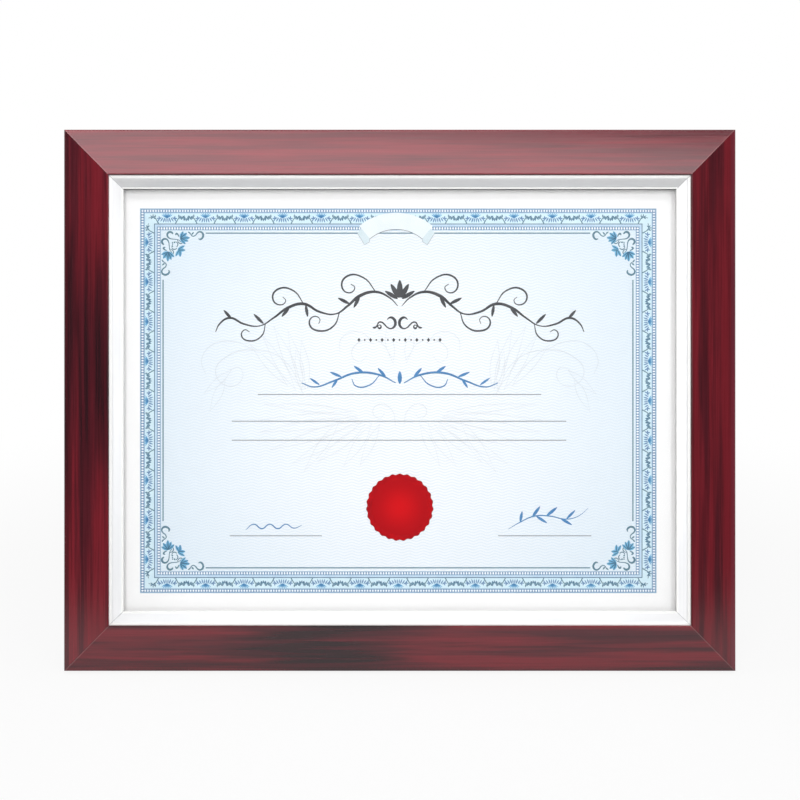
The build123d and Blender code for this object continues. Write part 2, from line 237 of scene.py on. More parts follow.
def mahoganyGroup():
    tree, given, out = makeGroup(
        "mahoganyGrain",
        ("Vector", "Heart", "Reach", "Streaks", "Figure", "Tint"),
        ("Color", "Roughness", "Height", "Ring"),
    )
    vector = given["Vector"]
    along = split(tree, vector)[0]
    sawn = mapped(tree, vector, woodLook["figureScale"], move=woodLook["figureMove"])
    figure = noise(tree, sawn, 1, 4, 0.55, 0.2)
    streaks = noise(tree, mapped(tree, vector, woodLook["streakScale"]), 1, 3, 0.5, 0.3)
    fine = noise(tree, mapped(tree, vector, woodLook["fineScale"]), 1, 2, 0.6)
    away = calc(tree, "ABSOLUTE", calc(tree, "SUBTRACT", along, given["Heart"]))
    heart = fade(tree, calc(tree, "DIVIDE", away, given["Reach"]), 0.0, 1.0, 1.0, 0.0)
    figurePull, streakPull = woodLook["heartPull"]
    lifted = fade(tree, calc(tree, "MULTIPLY_ADD", heart, streakPull, streaks), *woodLook["streakBand"])
    darkness = calc(tree, "MULTIPLY", lifted, given["Streaks"])
    deep = fade(tree, calc(tree, "MULTIPLY_ADD", heart, figurePull, figure), *woodLook["figureBand"])
    figured = calc(tree, "MULTIPLY_ADD", calc(tree, "SUBTRACT", deep, 0.5), given["Figure"], 0.5)
    wood = mixColour(tree, figured, woodLook["red"], woodLook["maroon"])
    wood = mixColour(tree, darkness, wood, woodLook["dark"])
    # the lightness input scales the whole rail: its tone, and on the top rail a painted highlight
    lines = calc(tree, "MULTIPLY", fade(tree, fine, *woodLook["lineTone"]), given["Tint"])
    figureShare, fineShare = woodLook["ringShares"]
    ring = calc(tree, "MULTIPLY_ADD", fine, fineShare, calc(tree, "MULTIPLY", figure, figureShare))
    colour = mixColour(tree, 1.0, wood, lines, "MULTIPLY")
    plug(tree, out, Color=colour, Roughness=fade(tree, fine, *woodLook["polish"]), Height=fine, Ring=ring)
    return tree


mahoganyGrain = mahoganyGroup()

# Turn that lays each rail along X, where its dark heart lies along it, how streaked it is, how light it is (its
# tone, and on the top rail a painted highlight), the shade along its inner edge, and the share, width and ink of
# the painted shade on its outer rim
railLook = {
    "rail_top": {
        "turn": 0.0, "heart": 0.16, "reach": 0.08, "streaks": 0.35, "figure": 0.6, "toneAndPaintedLight": 1.75, "seed": 0.31,
        "shade": 0.85,
    },
    "rail_bottom": {
        "turn": 0.0, "heart": -0.035, "reach": 0.07, "streaks": 0.95, "figure": 1.2, "toneAndPaintedLight": 1.1, "seed": 0.0,
        "shade": 0.0,
    },
    "rail_left": {
        "turn": pi / 2, "heart": -0.015, "reach": 0.085, "streaks": 0.8, "figure": 1.2, "toneAndPaintedLight": 1.08,
        "seed": 0.12, "shade": 0.0, "rim": (0.6, 0.0028), "rimShadeInk": "dark",
    },
    "rail_right": {
        "turn": pi / 2, "heart": 0.3, "reach": 0.1, "streaks": 0.5, "figure": 1.2, "toneAndPaintedLight": 0.95,
        "seed": 0.7, "shade": 0.6, "rim": (0.45, 0.0026), "rimShadeInk": "plum",
    },
}
# Metres from the mitre, the slip, the outer edge or the back, and where given the share before and after
railEdges = {
    "joint": (-0.00035, -0.0001, 0.0, 0.7),
    # painted highlight along the mitres of the rails across
    "wearAndSheen": (0.0003, 0.0009, 0.16, 0.0),
    "glue": (0.0001, 0.0003, 0.6, 0.0),
    "shade": (0.0003, 0.0008),
    "rim": (-0.0005, 0.0003),
    "back": (-0.00012, 0.0001),
}
outerHalf = {"wide": 0.1639, "high": 0.13215, "backDepth": 0.00574}
openingHalf = {"wide": 0.1403, "high": 0.10855}


def insideDistance(tree, x, y, half):  # how far a point lies out from an opening in the middle
    aside = calc(tree, "SUBTRACT", calc(tree, "ABSOLUTE", x), half["wide"])
    above = calc(tree, "SUBTRACT", calc(tree, "ABSOLUTE", y), half["high"])
    return calc(tree, "MAXIMUM", aside, above)


def mitreDistance(tree, x, y):  # outwards from the nearest mitre, seen from the rail above or below
    toSide = calc(tree, "SUBTRACT", outerHalf["wide"], calc(tree, "ABSOLUTE", x))
    toEnd = calc(tree, "SUBTRACT", outerHalf["high"], calc(tree, "ABSOLUTE", y))
    return calc(tree, "SUBTRACT", toSide, toEnd)


def railMaterial(name, look):
    material, tree, shader = makeMaterial(name, IOR=1.5, Coat_Weight=0.15, Coat_Roughness=0.1)
    face = leaningCoords(tree)
    grain = mapped(tree, face, turn=(0, 0, look["turn"]), move=(look["seed"], 0, 0))
    made = placeGroup(
        tree, mahoganyGrain, grain, Heart=look["heart"] + look["seed"], Reach=look["reach"],
        Streaks=look["streaks"], Figure=look["figure"], Tint=look["toneAndPaintedLight"],
    )
    x, y, z = split(tree, face)
    fromMitre = mitreDistance(tree, x, y)
    if look["turn"]:  # a thin dark joint on the upright rails, a painted highlight along the mitre on the others
        joint = fade(tree, fromMitre, *railEdges["joint"])
        colour = mixColour(tree, joint, made["Color"], woodLook["joint"])
    else:
        wearAndSheen = fade(tree, fromMitre, *railEdges["wearAndSheen"])
        colour = mixColour(tree, wearAndSheen, made["Color"], woodLook["edge"])
    if look["shade"]:
        fromSlip = insideDistance(tree, x, y, openingHalf)
        shade = fade(tree, fromSlip, *railEdges["shade"], look["shade"], 0.0)
        colour = mixColour(tree, shade, colour, woodLook["shade"])
    if "rim" in look:  # painted shade: the rounded outer edge is darker, where it turns from the light
        share, width = look["rim"]
        fromEdge = calc(tree, "MULTIPLY", insideDistance(tree, x, y, outerHalf), -1.0)
        rim = fade(tree, fromEdge, *[width + soft for soft in railEdges["rim"]], share, 0.0)
        colour = mixColour(tree, rim, colour, woodLook[look["rimShadeInk"]])
    # Bare wood on the back
    bare = fade(tree, z, *[soft - outerHalf["backDepth"] for soft in railEdges["back"]], 1.0, 0.0)
    ringed = fade(tree, made["Ring"], *woodLook["ringBand"])
    pale = mixColour(tree, ringed, woodLook["rawLight"], woodLook["raw"])
    glueLine = fade(tree, calc(tree, "ABSOLUTE", fromMitre), *railEdges["glue"])
    pale = mixColour(tree, glueLine, pale, woodLook["joint"])
    rough = calc(tree, "MULTIPLY_ADD", bare, woodLook["bareRough"], made["Roughness"])
    plug(tree, shader.inputs, Base_Color=mixColour(tree, bare, colour, pale), Roughness=rough)
    bump(tree, shader, made["Height"], *woodLook["relief"])
    return material


# Silver foil: satin, with very fine lines drawn along the slip, a painted highlight on the land and the nose, and
# painted shade on the sight edge at the sheet
silverLook = {
    "pale": srgb(240, 240, 240),
    "grey": srgb(228, 228, 230),
    "joint": srgb(176, 176, 178),
    # painted shade along the sight edge, strongest on the top slip
    "cut": srgb(58, 58, 61),
    # painted highlight: lighter on the land and the nose, which face the front
    "flat": srgb(250, 250, 248),  # on the land and the nose, which face the viewer
    "metal": 0.35,
    "nose": (0.0007, 0.0011),  # from the sight edge
    "land": (0.0042, 0.0052),
    "cutFrom": (0.00008, 0.0002, 1.0, 0.0),
    "jointFrom": (0.00008, 0.00028, 0.8, 0.0),  # from the mitre
    "lineScale": (5, 3600, 3600),  # along and across the slip, per metre
    "cloudScale": (22, 160, 160),
    "satin": (0.3, 0.7, 0.32, 0.4),
    "relief": (0.02, 0.00003),
    "sight": {"wide": 0.1344, "high": 0.10265},
}


def foilGroup():
    tree, given, out = makeGroup("silverFoil", ("Vector", "Tone"), ("Color", "Roughness", "Height"))
    lines = noise(tree, mapped(tree, given["Vector"], silverLook["lineScale"]), 1, 2, 0.6)
    cloud = noise(tree, mapped(tree, given["Vector"], silverLook["cloudScale"]), 1, 2, 0.5)
    foil = mixColour(tree, lines, silverLook["pale"], silverLook["grey"])
    toned = mixColour(tree, 1.0, foil, given["Tone"], "MULTIPLY")
    plug(tree, out, Color=toned, Roughness=fade(tree, cloud, *silverLook["satin"]), Height=lines)
    return tree


silverFoil = foilGroup()
# Turn that lays each slip along X, how light its foil is painted (the top slip darker as painted shade, the others
# lighter as painted light) and how strong the painted shade on its sight edge is
slipLook = {
    "silver_slip_top": {"turn": 0.0, "tone": 0.86, "edge": 1.0},
    "silver_slip_bottom": {"turn": 0.0, "tone": 1.06, "edge": 0.0},
    "silver_slip_left": {"turn": pi / 2, "tone": 1.06, "edge": 0.15},
    "silver_slip_right": {"turn": pi / 2, "tone": 1.06, "edge": 0.5},
}


def slipMaterial(name, look):
    material, tree, shader = makeMaterial(name)
    face = leaningCoords(tree)
    made = placeGroup(tree, silverFoil, mapped(tree, face, turn=(0, 0, look["turn"])), Tone=look["tone"])
    x, y, z = split(tree, face)
    joint = fade(tree, calc(tree, "ABSOLUTE", mitreDistance(tree, x, y)), *silverLook["jointFrom"])
    inwards = insideDistance(tree, x, y, silverLook["sight"])
    beyondNose = fade(tree, inwards, *silverLook["nose"])
    # painted highlight on the land and the nose, foil colour on the slope between
    slope = calc(tree, "MULTIPLY", beyondNose, fade(tree, inwards, *silverLook["land"], 1.0, 0.0))
    colour = mixColour(tree, slope, silverLook["flat"], made["Color"])
    colour = mixColour(tree, joint, colour, silverLook["joint"])
    # painted shade along the sight edge, scaled by each slip's share
    cut = calc(tree, "MULTIPLY", fade(tree, inwards, *silverLook["cutFrom"]), look["edge"])
    sightShaded = mixColour(tree, cut, colour, silverLook["cut"])
    metal = calc(tree, "MULTIPLY", slope, silverLook["metal"])
    plug(tree, shader.inputs, Base_Color=sightShaded, Metallic=metal, Roughness=made["Roughness"])
    bump(tree, shader, made["Height"], *silverLook["relief"])
    return material


# Plated steel of the fittings: fine scratches and a faint cloud
steelLook = {
    "bright": srgb(208, 205, 199),
    "dull": srgb(186, 182, 175),
    "plate": 1.0,
    "turned": 0.7,
    "scratchScale": (180, 2600, 2600),
    "scratchTurn": (0, 0, 0.5),
    "cloudScale": 260,
    "cloudBand": (0.35, 0.7),
    "scratchRough": 0.16,
    "cloudRough": (0.3, 0.7, 0.16, 0.28),
    "relief": (0.1, 0.0001),
}


def platedGroup():
    tree, given, out = makeGroup("platedSteel", ("Vector", "Tone"), ("Color", "Roughness", "Height"))
    drawn = mapped(tree, given["Vector"], steelLook["scratchScale"], turn=steelLook["scratchTurn"])
    scratches = noise(tree, drawn, 1, 3, 0.6)
    cloud = noise(tree, given["Vector"], steelLook["cloudScale"], 3, 0.55)
    dulled = fade(tree, cloud, *steelLook["cloudBand"])
    plated = mixColour(tree, dulled, steelLook["bright"], steelLook["dull"])
    toned = mixColour(tree, 1.0, plated, given["Tone"], "MULTIPLY")
    cloudy = fade(tree, cloud, *steelLook["cloudRough"])
    wearAndSheen = calc(tree, "MULTIPLY_ADD", scratches, steelLook["scratchRough"], cloudy)
    plug(tree, out, Color=toned, Roughness=wearAndSheen, Height=scratches)
    return tree


platedSteel = platedGroup()


def steelMaterial(name, turn, tone):
    material, tree, shader = makeMaterial(name, Metallic=1.0)
    made = placeGroup(tree, platedSteel, mapped(tree, leaningCoords(tree), turn=turn), Tone=tone)
    plug(tree, shader.inputs, Base_Color=made["Color"], Roughness=made["Roughness"])
    bump(tree, shader, made["Height"], *steelLook["relief"])
    return material


# Board and card: pressed fibre with a fine embossed skin
boardSkin = {
    "emboss": 0.7,
    "fibreScale": 0.6,  # of the embossed grain
    "scuffScale": 45,  # per metre
    "toneShares": (0.5, 0.5),  # of the scuffs and of the fibre
    "toneBand": (0.38, 0.6),
}


def boardGroup():
    tree, given, out = makeGroup("pressedBoard", ("Vector", "Grain"), ("Tone", "Height"))
    scaled = makeNode(tree, "ShaderNodeVectorMath", operation="SCALE")
    tree.links.new(given["Vector"], scaled.inputs[0])
    tree.links.new(given["Grain"], scaled.inputs["Scale"])
    cells = makeNode(tree, "ShaderNodeTexVoronoi", feature="SMOOTH_F1")
    tree.links.new(scaled.outputs[0], cells.inputs["Vector"])
    cells.inputs["Scale"].default_value = 1.0
    fibre = noise(tree, scaled.outputs[0], boardSkin["fibreScale"], 4, 0.6)
    scuffs = noise(tree, given["Vector"], boardSkin["scuffScale"], 3, 0.6)
    skin = calc(tree, "MULTIPLY_ADD", cells.outputs["Distance"], boardSkin["emboss"], fibre)
    scuffShare, fibreShare = boardSkin["toneShares"]
    tone = calc(tree, "MULTIPLY_ADD", scuffs, scuffShare, calc(tree, "MULTIPLY", fibre, fibreShare))
    plug(tree, out, Height=skin, Tone=tone)
    return tree


pressedBoard = boardGroup()
boardLook = {
    "blackBoard": {
        "dark": srgb(22, 22, 24), "light": srgb(52, 51, 52),
        "rough": 0.6, "grain": 1100, "relief": (0.6, 0.0003),
    },
    "greyCard": {
        "dark": srgb(150, 144, 134), "light": srgb(176, 170, 160),
        "rough": 0.9, "grain": 2600, "relief": (0.2, 0.0003),
    },
}


def boardMaterial(name):
    look = boardLook[name]
    material, tree, shader = makeMaterial(name, Roughness=look["rough"])
    made = placeGroup(tree, pressedBoard, leaningCoords(tree), Grain=look["grain"])
    tone = fade(tree, made["Tone"], *boardSkin["toneBand"])
    plug(tree, shader.inputs, Base_Color=mixColour(tree, tone, look["dark"], look["light"]))
    bump(tree, shader, made["Height"], *look["relief"])
    return material


# Printed field: pale blue at the border, nearly white in the middle, under fine wavy lines
border = {
    "middle": (-0.00075, -0.00025),
    "wide": 0.12625,
    "high": 0.09405,
    "fieldInset": 0.0096,
    "lineInset": 0.0074,
    "aside": 0.00055,  # how much nearer the edge the inner bands lie at the sides
}
fieldLook = {
    "paper": srgb(254, 254, 254),
    "middle": srgb(247, 250, 253),
    "rim": srgb(226, 238, 247),
    "line": srgb(212, 228, 242),
    "pitch": 0.0014,
    "wave": 0.0070,
    "swing": 0.00045,
    "lineBand": (-0.1, 1.0, 0.0, 0.5),  # of each wavy line, and how strong it is
    "fall": (0.2, 1.15),  # from the middle to the rim's shade
    "flatten": 0.45,
}
inkLook = {
    "speckScale": 2400,  # per metre
    "cloudScale": 160,
    "speckShare": 0.4,
    "took": (0.3, 0.7),
    "rough": 0.6,
    "paperRough": 0.75,
    "paperTone": (0.985, 1.0),
    "paperRelief": (0.05, 0.00005),
    "ghostTone": (0.86, 0.92),
}


def fieldGroup():
    tree, given, out = makeGroup("printedField", ("Vector",), ("Color",))
    x, y, z = split(tree, given["Vector"])
    x = calc(tree, "SUBTRACT", x, border["middle"][0])
    y = calc(tree, "SUBTRACT", y, border["middle"][1])
    aside = calc(tree, "SUBTRACT", border["wide"], calc(tree, "ABSOLUTE", x))
    above = calc(tree, "SUBTRACT", border["high"], calc(tree, "ABSOLUTE", y))
    inset = calc(tree, "MINIMUM", aside, above)
    wide = calc(tree, "POWER", calc(tree, "DIVIDE", calc(tree, "ABSOLUTE", x), border["wide"]), 2.0)
    high = calc(tree, "POWER", calc(tree, "DIVIDE", calc(tree, "ABSOLUTE", y), border["high"]), 2.0)
    outwards = calc(tree, "SQRT", calc(tree, "MULTIPLY_ADD", high, fieldLook["flatten"], wide))
    shade = mixColour(tree, fade(tree, outwards, *fieldLook["fall"]), fieldLook["middle"], fieldLook["rim"])
    swing = calc(tree, "SINE", calc(tree, "MULTIPLY", x, 2 * pi / fieldLook["wave"]))
    lift = calc(tree, "MULTIPLY_ADD", swing, fieldLook["swing"], y)
    rows = calc(tree, "SINE", calc(tree, "MULTIPLY", lift, 2 * pi / fieldLook["pitch"]))
    drawn = fade(tree, rows, *fieldLook["lineBand"])
    lined = mixColour(tree, drawn, shade, fieldLook["line"])
    inside = calc(tree, "GREATER_THAN", inset, border["fieldInset"])
    plug(tree, out, Color=mixColour(tree, inside, fieldLook["paper"], lined))
    return tree


printedField = fieldGroup()


def mottleGroup():  # how evenly ink or dye took
    tree, given, out = makeGroup("inkMottle", ("Vector",), ("Tone",))
    speck = noise(tree, given["Vector"], inkLook["speckScale"], 2, 0.6)
    cloud = noise(tree, given["Vector"], inkLook["cloudScale"], 2, 0.5)
    cloudy = calc(tree, "MULTIPLY", cloud, 1 - inkLook["speckShare"])
    plug(tree, out, Tone=calc(tree, "MULTIPLY_ADD", speck, inkLook["speckShare"], cloudy))
    return tree


inkMottle = mottleGroup()


def fieldMaterial(name, tone):  # the printed field, as pale as the ink or fibre leaves it
    material, tree, shader = makeMaterial(name, Roughness=inkLook["paperRough"])
    face = leaningCoords(tree)
    field = placeGroup(tree, printedField, face)["Color"]
    fibre = placeGroup(tree, inkMottle, face)["Tone"]
    soft = fade(tree, fibre, *inkLook["took"], *tone)
    plug(tree, shader.inputs, Base_Color=mixColour(tree, 1.0, field, soft, "MULTIPLY"))
    return material, tree, shader, fibre


def paperMaterial():
    material, tree, shader, fibre = fieldMaterial("certificatePaper", inkLook["paperTone"])
    bump(tree, shader, fibre, *inkLook["paperRelief"])
    return material


def inkMaterial(name, thin, full):
    material, tree, shader = makeMaterial(name, Roughness=inkLook["rough"])
    took = fade(tree, placeGroup(tree, inkMottle, leaningCoords(tree))["Tone"], *inkLook["took"])
    plug(tree, shader.inputs, Base_Color=mixColour(tree, took, srgb(*thin), srgb(*full)))
    return material


# Each ink where it took thinly and fully; the ghost is a faint print, a little deeper than its field
inkTones = {
    "white": ((248, 251, 254), (240, 246, 252)),
    "lavender": ((156, 186, 211), (142, 174, 203)),
    "slate": ((112, 146, 184), (94, 132, 172)),
    "mist": ((220, 241, 250), (210, 235, 247)),
    "sky": ((202, 224, 242), (190, 215, 237)),
    "teal": ((104, 142, 158), (84, 124, 144)),
    "leaf": ((112, 150, 174), (90, 130, 158)),
    "blue": ((80, 140, 190), (60, 120, 172)),
    "azure": ((118, 180, 216), (94, 160, 206)),
    "deep": ((78, 122, 148), (58, 104, 136)),
    "grey": ((80, 82, 86), (58, 60, 64)),
    "rule": ((146, 152, 158), (126, 132, 140)),
    "pen": ((86, 144, 194), (62, 122, 178)),
    "banner": ((238, 246, 250), (232, 241, 247)),
    "tail": ((220, 234, 240), (210, 226, 233)),
    "petal": ((130, 192, 224), (106, 172, 212)),
    "violet": ((114, 152, 190), (96, 136, 180)),
}
inks = {name: inkMaterial(name + "Ink", *tones) for name, tones in inkTones.items()}
inks["ghost"] = fieldMaterial("ghostInk", inkLook["ghostTone"])[0]
glassLook = {"index": 1.46, "glare": (0.4, 0.4, 0.4, 1)}  # coated, so that glare is low


def glassMaterial():
    material, tree, shader = makeMaterial(
        "glazing", Base_Color=(1, 1, 1, 1), Roughness=0.0, IOR=glassLook["index"], Transmission_Weight=1.0,
        Specular_Tint=glassLook["glare"],
    )
    rays = makeNode(tree, "ShaderNodeLightPath").outputs
    lit = calc(tree, "MAXIMUM", rays["Is Shadow Ray"], rays["Is Diffuse Ray"])
    mixShaders(tree, lit, shader, makeNode(tree, "ShaderNodeBsdfTransparent"), "Material Output")
    return material


# Finishes on the pieces that keep their own shape
def dress(material, *names):
    for name in names:
        for slot in nodes[name].material_slots:
            slot.material = material


for railName, look in railLook.items():
    dress(railMaterial(railName.replace("rail_", "mahogany_"), look), railName)
for slipName, look in slipLook.items():
    dress(slipMaterial(slipName.replace("silver_slip_", "silver_"), look), slipName)
dress(glassMaterial(), "glazing_pane")
dress(paperMaterial(), "certificate_sheet")
dress(boardMaterial("greyCard"), "filler_card")
dress(boardMaterial("blackBoard"), "backing_board", "easel_leg")
dress(
    steelMaterial("nickelPlate", (0, 0, 0), steelLook["plate"]),
    *[name for name in nodes if name.startswith("turn_button")],
    "sawtooth_hanger", "hinge_board_leaf", "hinge_leg_leaf", "corner_v_nails",
)
turnedSteel = steelMaterial("nickelTurned", (0.4, 0.7, 0), steelLook["turned"])
dress(turnedSteel, "hanger_nails", "hinge_pin", "board_rivets", "leg_rivets")
print("finishes on", len(nodes), "nodes")


# Mesh helpers
def newPiece(name, bm, material, slotName, place=None):
    if place is not None:
        bmesh.ops.transform(bm, matrix=place, verts=bm.verts)
    bmesh.ops.recalc_face_normals(bm, faces=bm.faces)
    mesh = bpy.data.meshes.new(name)
    bm.to_mesh(mesh)
    bm.free()
    mesh.materials.append(material)
    piece = bpy.data.objects.new(name, mesh)
    scene.collection.objects.link(piece)
    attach(piece, "frame")
    return piece


def thicken(bm, height, base=0.0):  # flat faces become a thin closed film standing on the base
    grown = bmesh.ops.extrude_face_region(bm, geom=bm.faces[:])["geom"]
    top = [part for part in grown if isinstance(part, bmesh.types.BMVert)]
    bmesh.ops.translate(bm, vec=(0, 0, height), verts=top)
    bmesh.ops.translate(bm, vec=(0, 0, base), verts=bm.verts)


leafShape = {
    "belly": 0.42,  # how far along a leaf is widest
    "taper": 1.2,
    "rootLine": 0.6,  # how thin an outline is at its ends
    "tipLine": 0.5,
}


def leaf(bm, root, angle, length, width, segments=8):  # angle from straight up, clockwise
    made = bmesh.ops.create_circle(bm, cap_ends=True, segments=segments, radius=0.5)["verts"]
    turn = Matrix.Translation(Vector((*root, 0))) @ Matrix.Rotation(-angle, 4, "Z")
    for vert in made:
        share = vert.co.y + 0.5
        slim = 1 - leafShape["taper"] * abs(share - leafShape["belly"]) ** 2
        vert.co = turn @ Vector((vert.co.x * width * slim, share * length, 0))


def dot(bm, middle, radius):
    place = Matrix.Translation(Vector((*middle, 0)))
    bmesh.ops.create_circle(bm, cap_ends=True, segments=8, radius=radius, matrix=place)


def penStrokes(bm, strokes, base, relief=0.08, steps=4):  # points are x, y and half width
    curve = bpy.data.curves.new("stroke", "CURVE")
    curve.dimensions = "3D"
    curve.bevel_depth = 1.0
    curve.bevel_resolution = 1
    curve.use_fill_caps = True
    curve.resolution_u = steps
    for points in strokes:
        spline = curve.splines.new("BEZIER")
        spline.bezier_points.add(len(points) - 1)
        for knot, (x, y, half) in zip(spline.bezier_points, points):
            knot.co = (x, y, 0)
            knot.radius = half
            knot.handle_left_type = knot.handle_right_type = "AUTO"
    drawn = bpy.data.objects.new("stroke", curve)
    mesh = bpy.data.meshes.new_from_object(drawn)
    for vert in mesh.vertices:  # flat underneath and low on top, as ink lies
        vert.co.z = base + max(vert.co.z, 0) * relief
    bm.from_mesh(mesh)
    bpy.data.objects.remove(drawn)
    bpy.data.curves.remove(curve)
    bpy.data.meshes.remove(mesh)


def repeated(motif, places):
    whole = bmesh.new()
    mesh = bpy.data.meshes.new("motif")
    motif.to_mesh(mesh)
    for place in places:
        copy = mesh.copy()
        copy.transform(place)
        whole.from_mesh(copy)
        bpy.data.meshes.remove(copy)
    bpy.data.meshes.remove(mesh)
    motif.free()
    return whole


def flipped(strokes):
    return [[(-x, y, half) for x, y, half in points] for points in strokes]


def scaled(strokes, size, middle=(0, 0)):
    left, low = middle
    return [[(left + x * size, low + y * size, half * size) for x, y, half in points] for points in strokes]


onPaper = ("certificate_paper", sheetPlace)

# Border bands, each a thin printed ring at an inset from the border's edge
bands = {
    "border_band_outer": {"inset": 0.0, "width": 0.00232, "ink": "lavender", "rise": 0.00003},
    "border_bed_outer": {"inset": 0.00058, "width": 0.00122, "ink": "slate", "rise": 0.00005},
    "border_frieze_ground": {"inset": 0.00232, "width": 0.00508, "ink": "mist", "rise": 0.00003},
    "border_line": {"inset": border["lineInset"], "width": 0.00038, "ink": "deep", "rise": 0.00004},
    "border_band_middle": {"inset": 0.00782, "width": 0.0009, "ink": "sky", "rise": 0.000035},
    "border_band_inner": {"inset": 0.00872, "width": 0.00196, "ink": "lavender", "rise": 0.00003},
    "border_bed_inner": {"inset": 0.0092, "width": 0.00106, "ink": "slate", "rise": 0.00005},
}


def halfSizes(inset):  # from the line inwards, the bands lie nearer the edge at the sides
    aside = border["aside"] if inset >= border["lineInset"] else 0.0
    return border["wide"] - inset + aside, border["high"] - inset


def bandRing(inset, width, rise):
    bm = bmesh.new()
    size = Matrix.Diagonal((*halfSizes(inset), 1, 1))
    bmesh.ops.create_grid(bm, x_segments=1, y_segments=1, size=1.0, matrix=size)
    middle = bm.faces[:]
    bmesh.ops.inset_region(bm, faces=middle, thickness=width, use_boundary=True, use_even_offset=True)
    bmesh.ops.delete(bm, geom=middle, context="FACES_ONLY")
    thicken(bm, rise)
    bmesh.ops.translate(bm, vec=(*border["middle"], 0), verts=bm.verts)
    return bm


for name, band in bands.items():
    ring = bandRing(band["inset"], band["width"], band["rise"])
    newPiece(name, ring, inks[band["ink"]], *onPaper)

# Rows of white beads along both bands
beadInsets = {"border_beads_outer": 0.00119, "border_beads_inner": 0.00973}
bead = {
    "pitch": 0.00131,
    "long": 0.00092,
    "wide": 0.00116,
    "radius": 0.54,  # of its length and width
    "base": 0.00004,
    "rise": 0.00005,
    "top": (0.6, 0.6, 1),
}


def runsAround(inset):  # start, direction, length and outward turn of each straight run
    wide, high = halfSizes(inset)
    return [
        (Vector((-wide, high)), Vector((1, 0)), 2 * wide, 0.0),
        (Vector((wide, high)), Vector((0, -1)), 2 * high, -pi / 2),
        (Vector((wide, -high)), Vector((-1, 0)), 2 * wide, pi),
        (Vector((-wide, -high)), Vector((0, 1)), 2 * high, pi / 2),
    ]


def beadMotif():
    bm = bmesh.new()
    size = Matrix.Diagonal((bead["long"], bead["wide"], 1, 1))
    bmesh.ops.create_circle(bm, cap_ends=True, segments=8, radius=bead["radius"], matrix=size)
    thicken(bm, bead["rise"], bead["base"])
    top = [face for face in bm.faces if face.calc_center_median().z > bead["base"] + bead["rise"] * 0.9]
    bmesh.ops.scale(bm, vec=bead["top"], verts=list({vert for face in top for vert in face.verts}))
    return bm


for name, inset in beadInsets.items():
    places = []
    for start, direction, length, turn in runsAround(inset):
        count = round(length / bead["pitch"])
        for step in range(count):
            spot = start + direction * (length * step / count) + Vector(border["middle"])
            places.append(Matrix.Translation((*spot, 0)) @ Matrix.Rotation(turn, 4, "Z"))
    newPiece(name, repeated(beadMotif(), places), inks["white"], *onPaper)
print("border bands and beads")

# Frieze between the bead rows: a palmette and a garland by turns, in millimetres from the inner line
frieze = {
    "across": (0.01885, 6),  # pitch, and how many on each side of the middle
    "upright": (0.01939, 4),
    "base": 0.00003,
    "rise": 0.00004,
    "veinLift": 0.00002,
    "stem": (0.12, 3),  # relief and smoothness
    "unit": 0.001,
}
palmetteFan = [  # root, angle, length and width of each petal
    ((0, 2.6), 0, 2.8, 0.58), ((0.1, 2.6), 19, 2.9, 0.56), ((0.2, 2.65), 37, 3.1, 0.54),
    ((0.3, 2.8), 56, 2.9, 0.5),
]
palmetteVeins = [
    ((0, 2.6), 0, 2.0, 0.42), ((0.05, 2.65), 19, 1.8, 0.34), ((0.1, 2.7), 37, 1.6, 0.3),
    ((0.15, 2.8), 56, 1.2, 0.24),
]
palmetteLegs = [
    ((0.4, 2.8), 176, 2.3, 0.6), ((1.0, 2.9), 160, 2.6, 0.7), ((1.9, 3.0), 148, 2.4, 0.65),
    ((2.6, 3.1), 128, 1.9, 0.6), ((3.6, 2.1), 12, 1.7, 0.7), ((3.8, 2.3), 74, 1.3, 0.6),
    ((3.7, 2.4), 150, 1.6, 0.6),
]
garlandStems = [
    [(5.25, 0.05, 0.28), (4.5, 1.4, 0.23), (3.7, 2.6, 0.22), (2.8, 3.1, 0.2), (1.6, 3.0, 0.17),
     (0.4, 2.7, 0.14)],
    [(3.5, 2.75, 0.1), (3.9, 3.7, 0.16), (3.5, 4.5, 0.1)],
]
garlandLeaves = [  # blossoms hanging from the stem, then sprigs above it
    ((0, 2.7), 180, 1.6, 0.7), ((0.35, 2.7), 152, 1.5, 0.55), ((0.9, 2.8), 172, 1.5, 0.55),
    ((1.4, 2.9), 200, 1.5, 0.6), ((1.6, 3.0), 140, 1.6, 0.55), ((2.3, 3.1), 166, 1.2, 0.5),
    ((0.5, 2.8), 38, 1.3, 0.45), ((1.4, 3.0), 330, 1.2, 0.45), ((2.2, 3.1), 52, 1.3, 0.45),
    ((3.1, 3.0), 30, 1.6, 0.55), ((2.6, 3.0), 140, 1.2, 0.45),
]
garlandVeins = [
    ((0, 2.7), 180, 1.1, 0.32), ((0.35, 2.7), 152, 1.0, 0.26), ((0.9, 2.8), 172, 1.0, 0.26),
    ((1.6, 3.0), 140, 1.1, 0.28), ((2.2, 3.1), 52, 0.8, 0.22),
]
garlandBerry = (1.55, 3.5, 0.3)
cornerSprig = [((0, 3.3), 0, 1.4, 0.5), ((0.1, 3.2), 62, 1.5, 0.5), ((0.1, 3.1), 128, 1.4, 0.5)]


def leafMotif(leaves, berry=None):
    bm = bmesh.new()
    unit = frieze["unit"]
    for (x, y), angle, length, width in leaves:
        for side in (-1, 1) if angle % 180 or x else (1,):
            leaf(bm, (side * x * unit, y * unit), radians(side * angle), length * unit, width * unit)
    if berry:
        for side in (-1, 1):
            dot(bm, (side * berry[0] * unit, berry[1] * unit), berry[2] * unit)
    thicken(bm, frieze["rise"], frieze["base"])
    return bm


def stemMotif(strokes):
    bm = bmesh.new()
    penStrokes(bm, scaled(strokes, frieze["unit"]), frieze["base"], *frieze["stem"])
    return bm


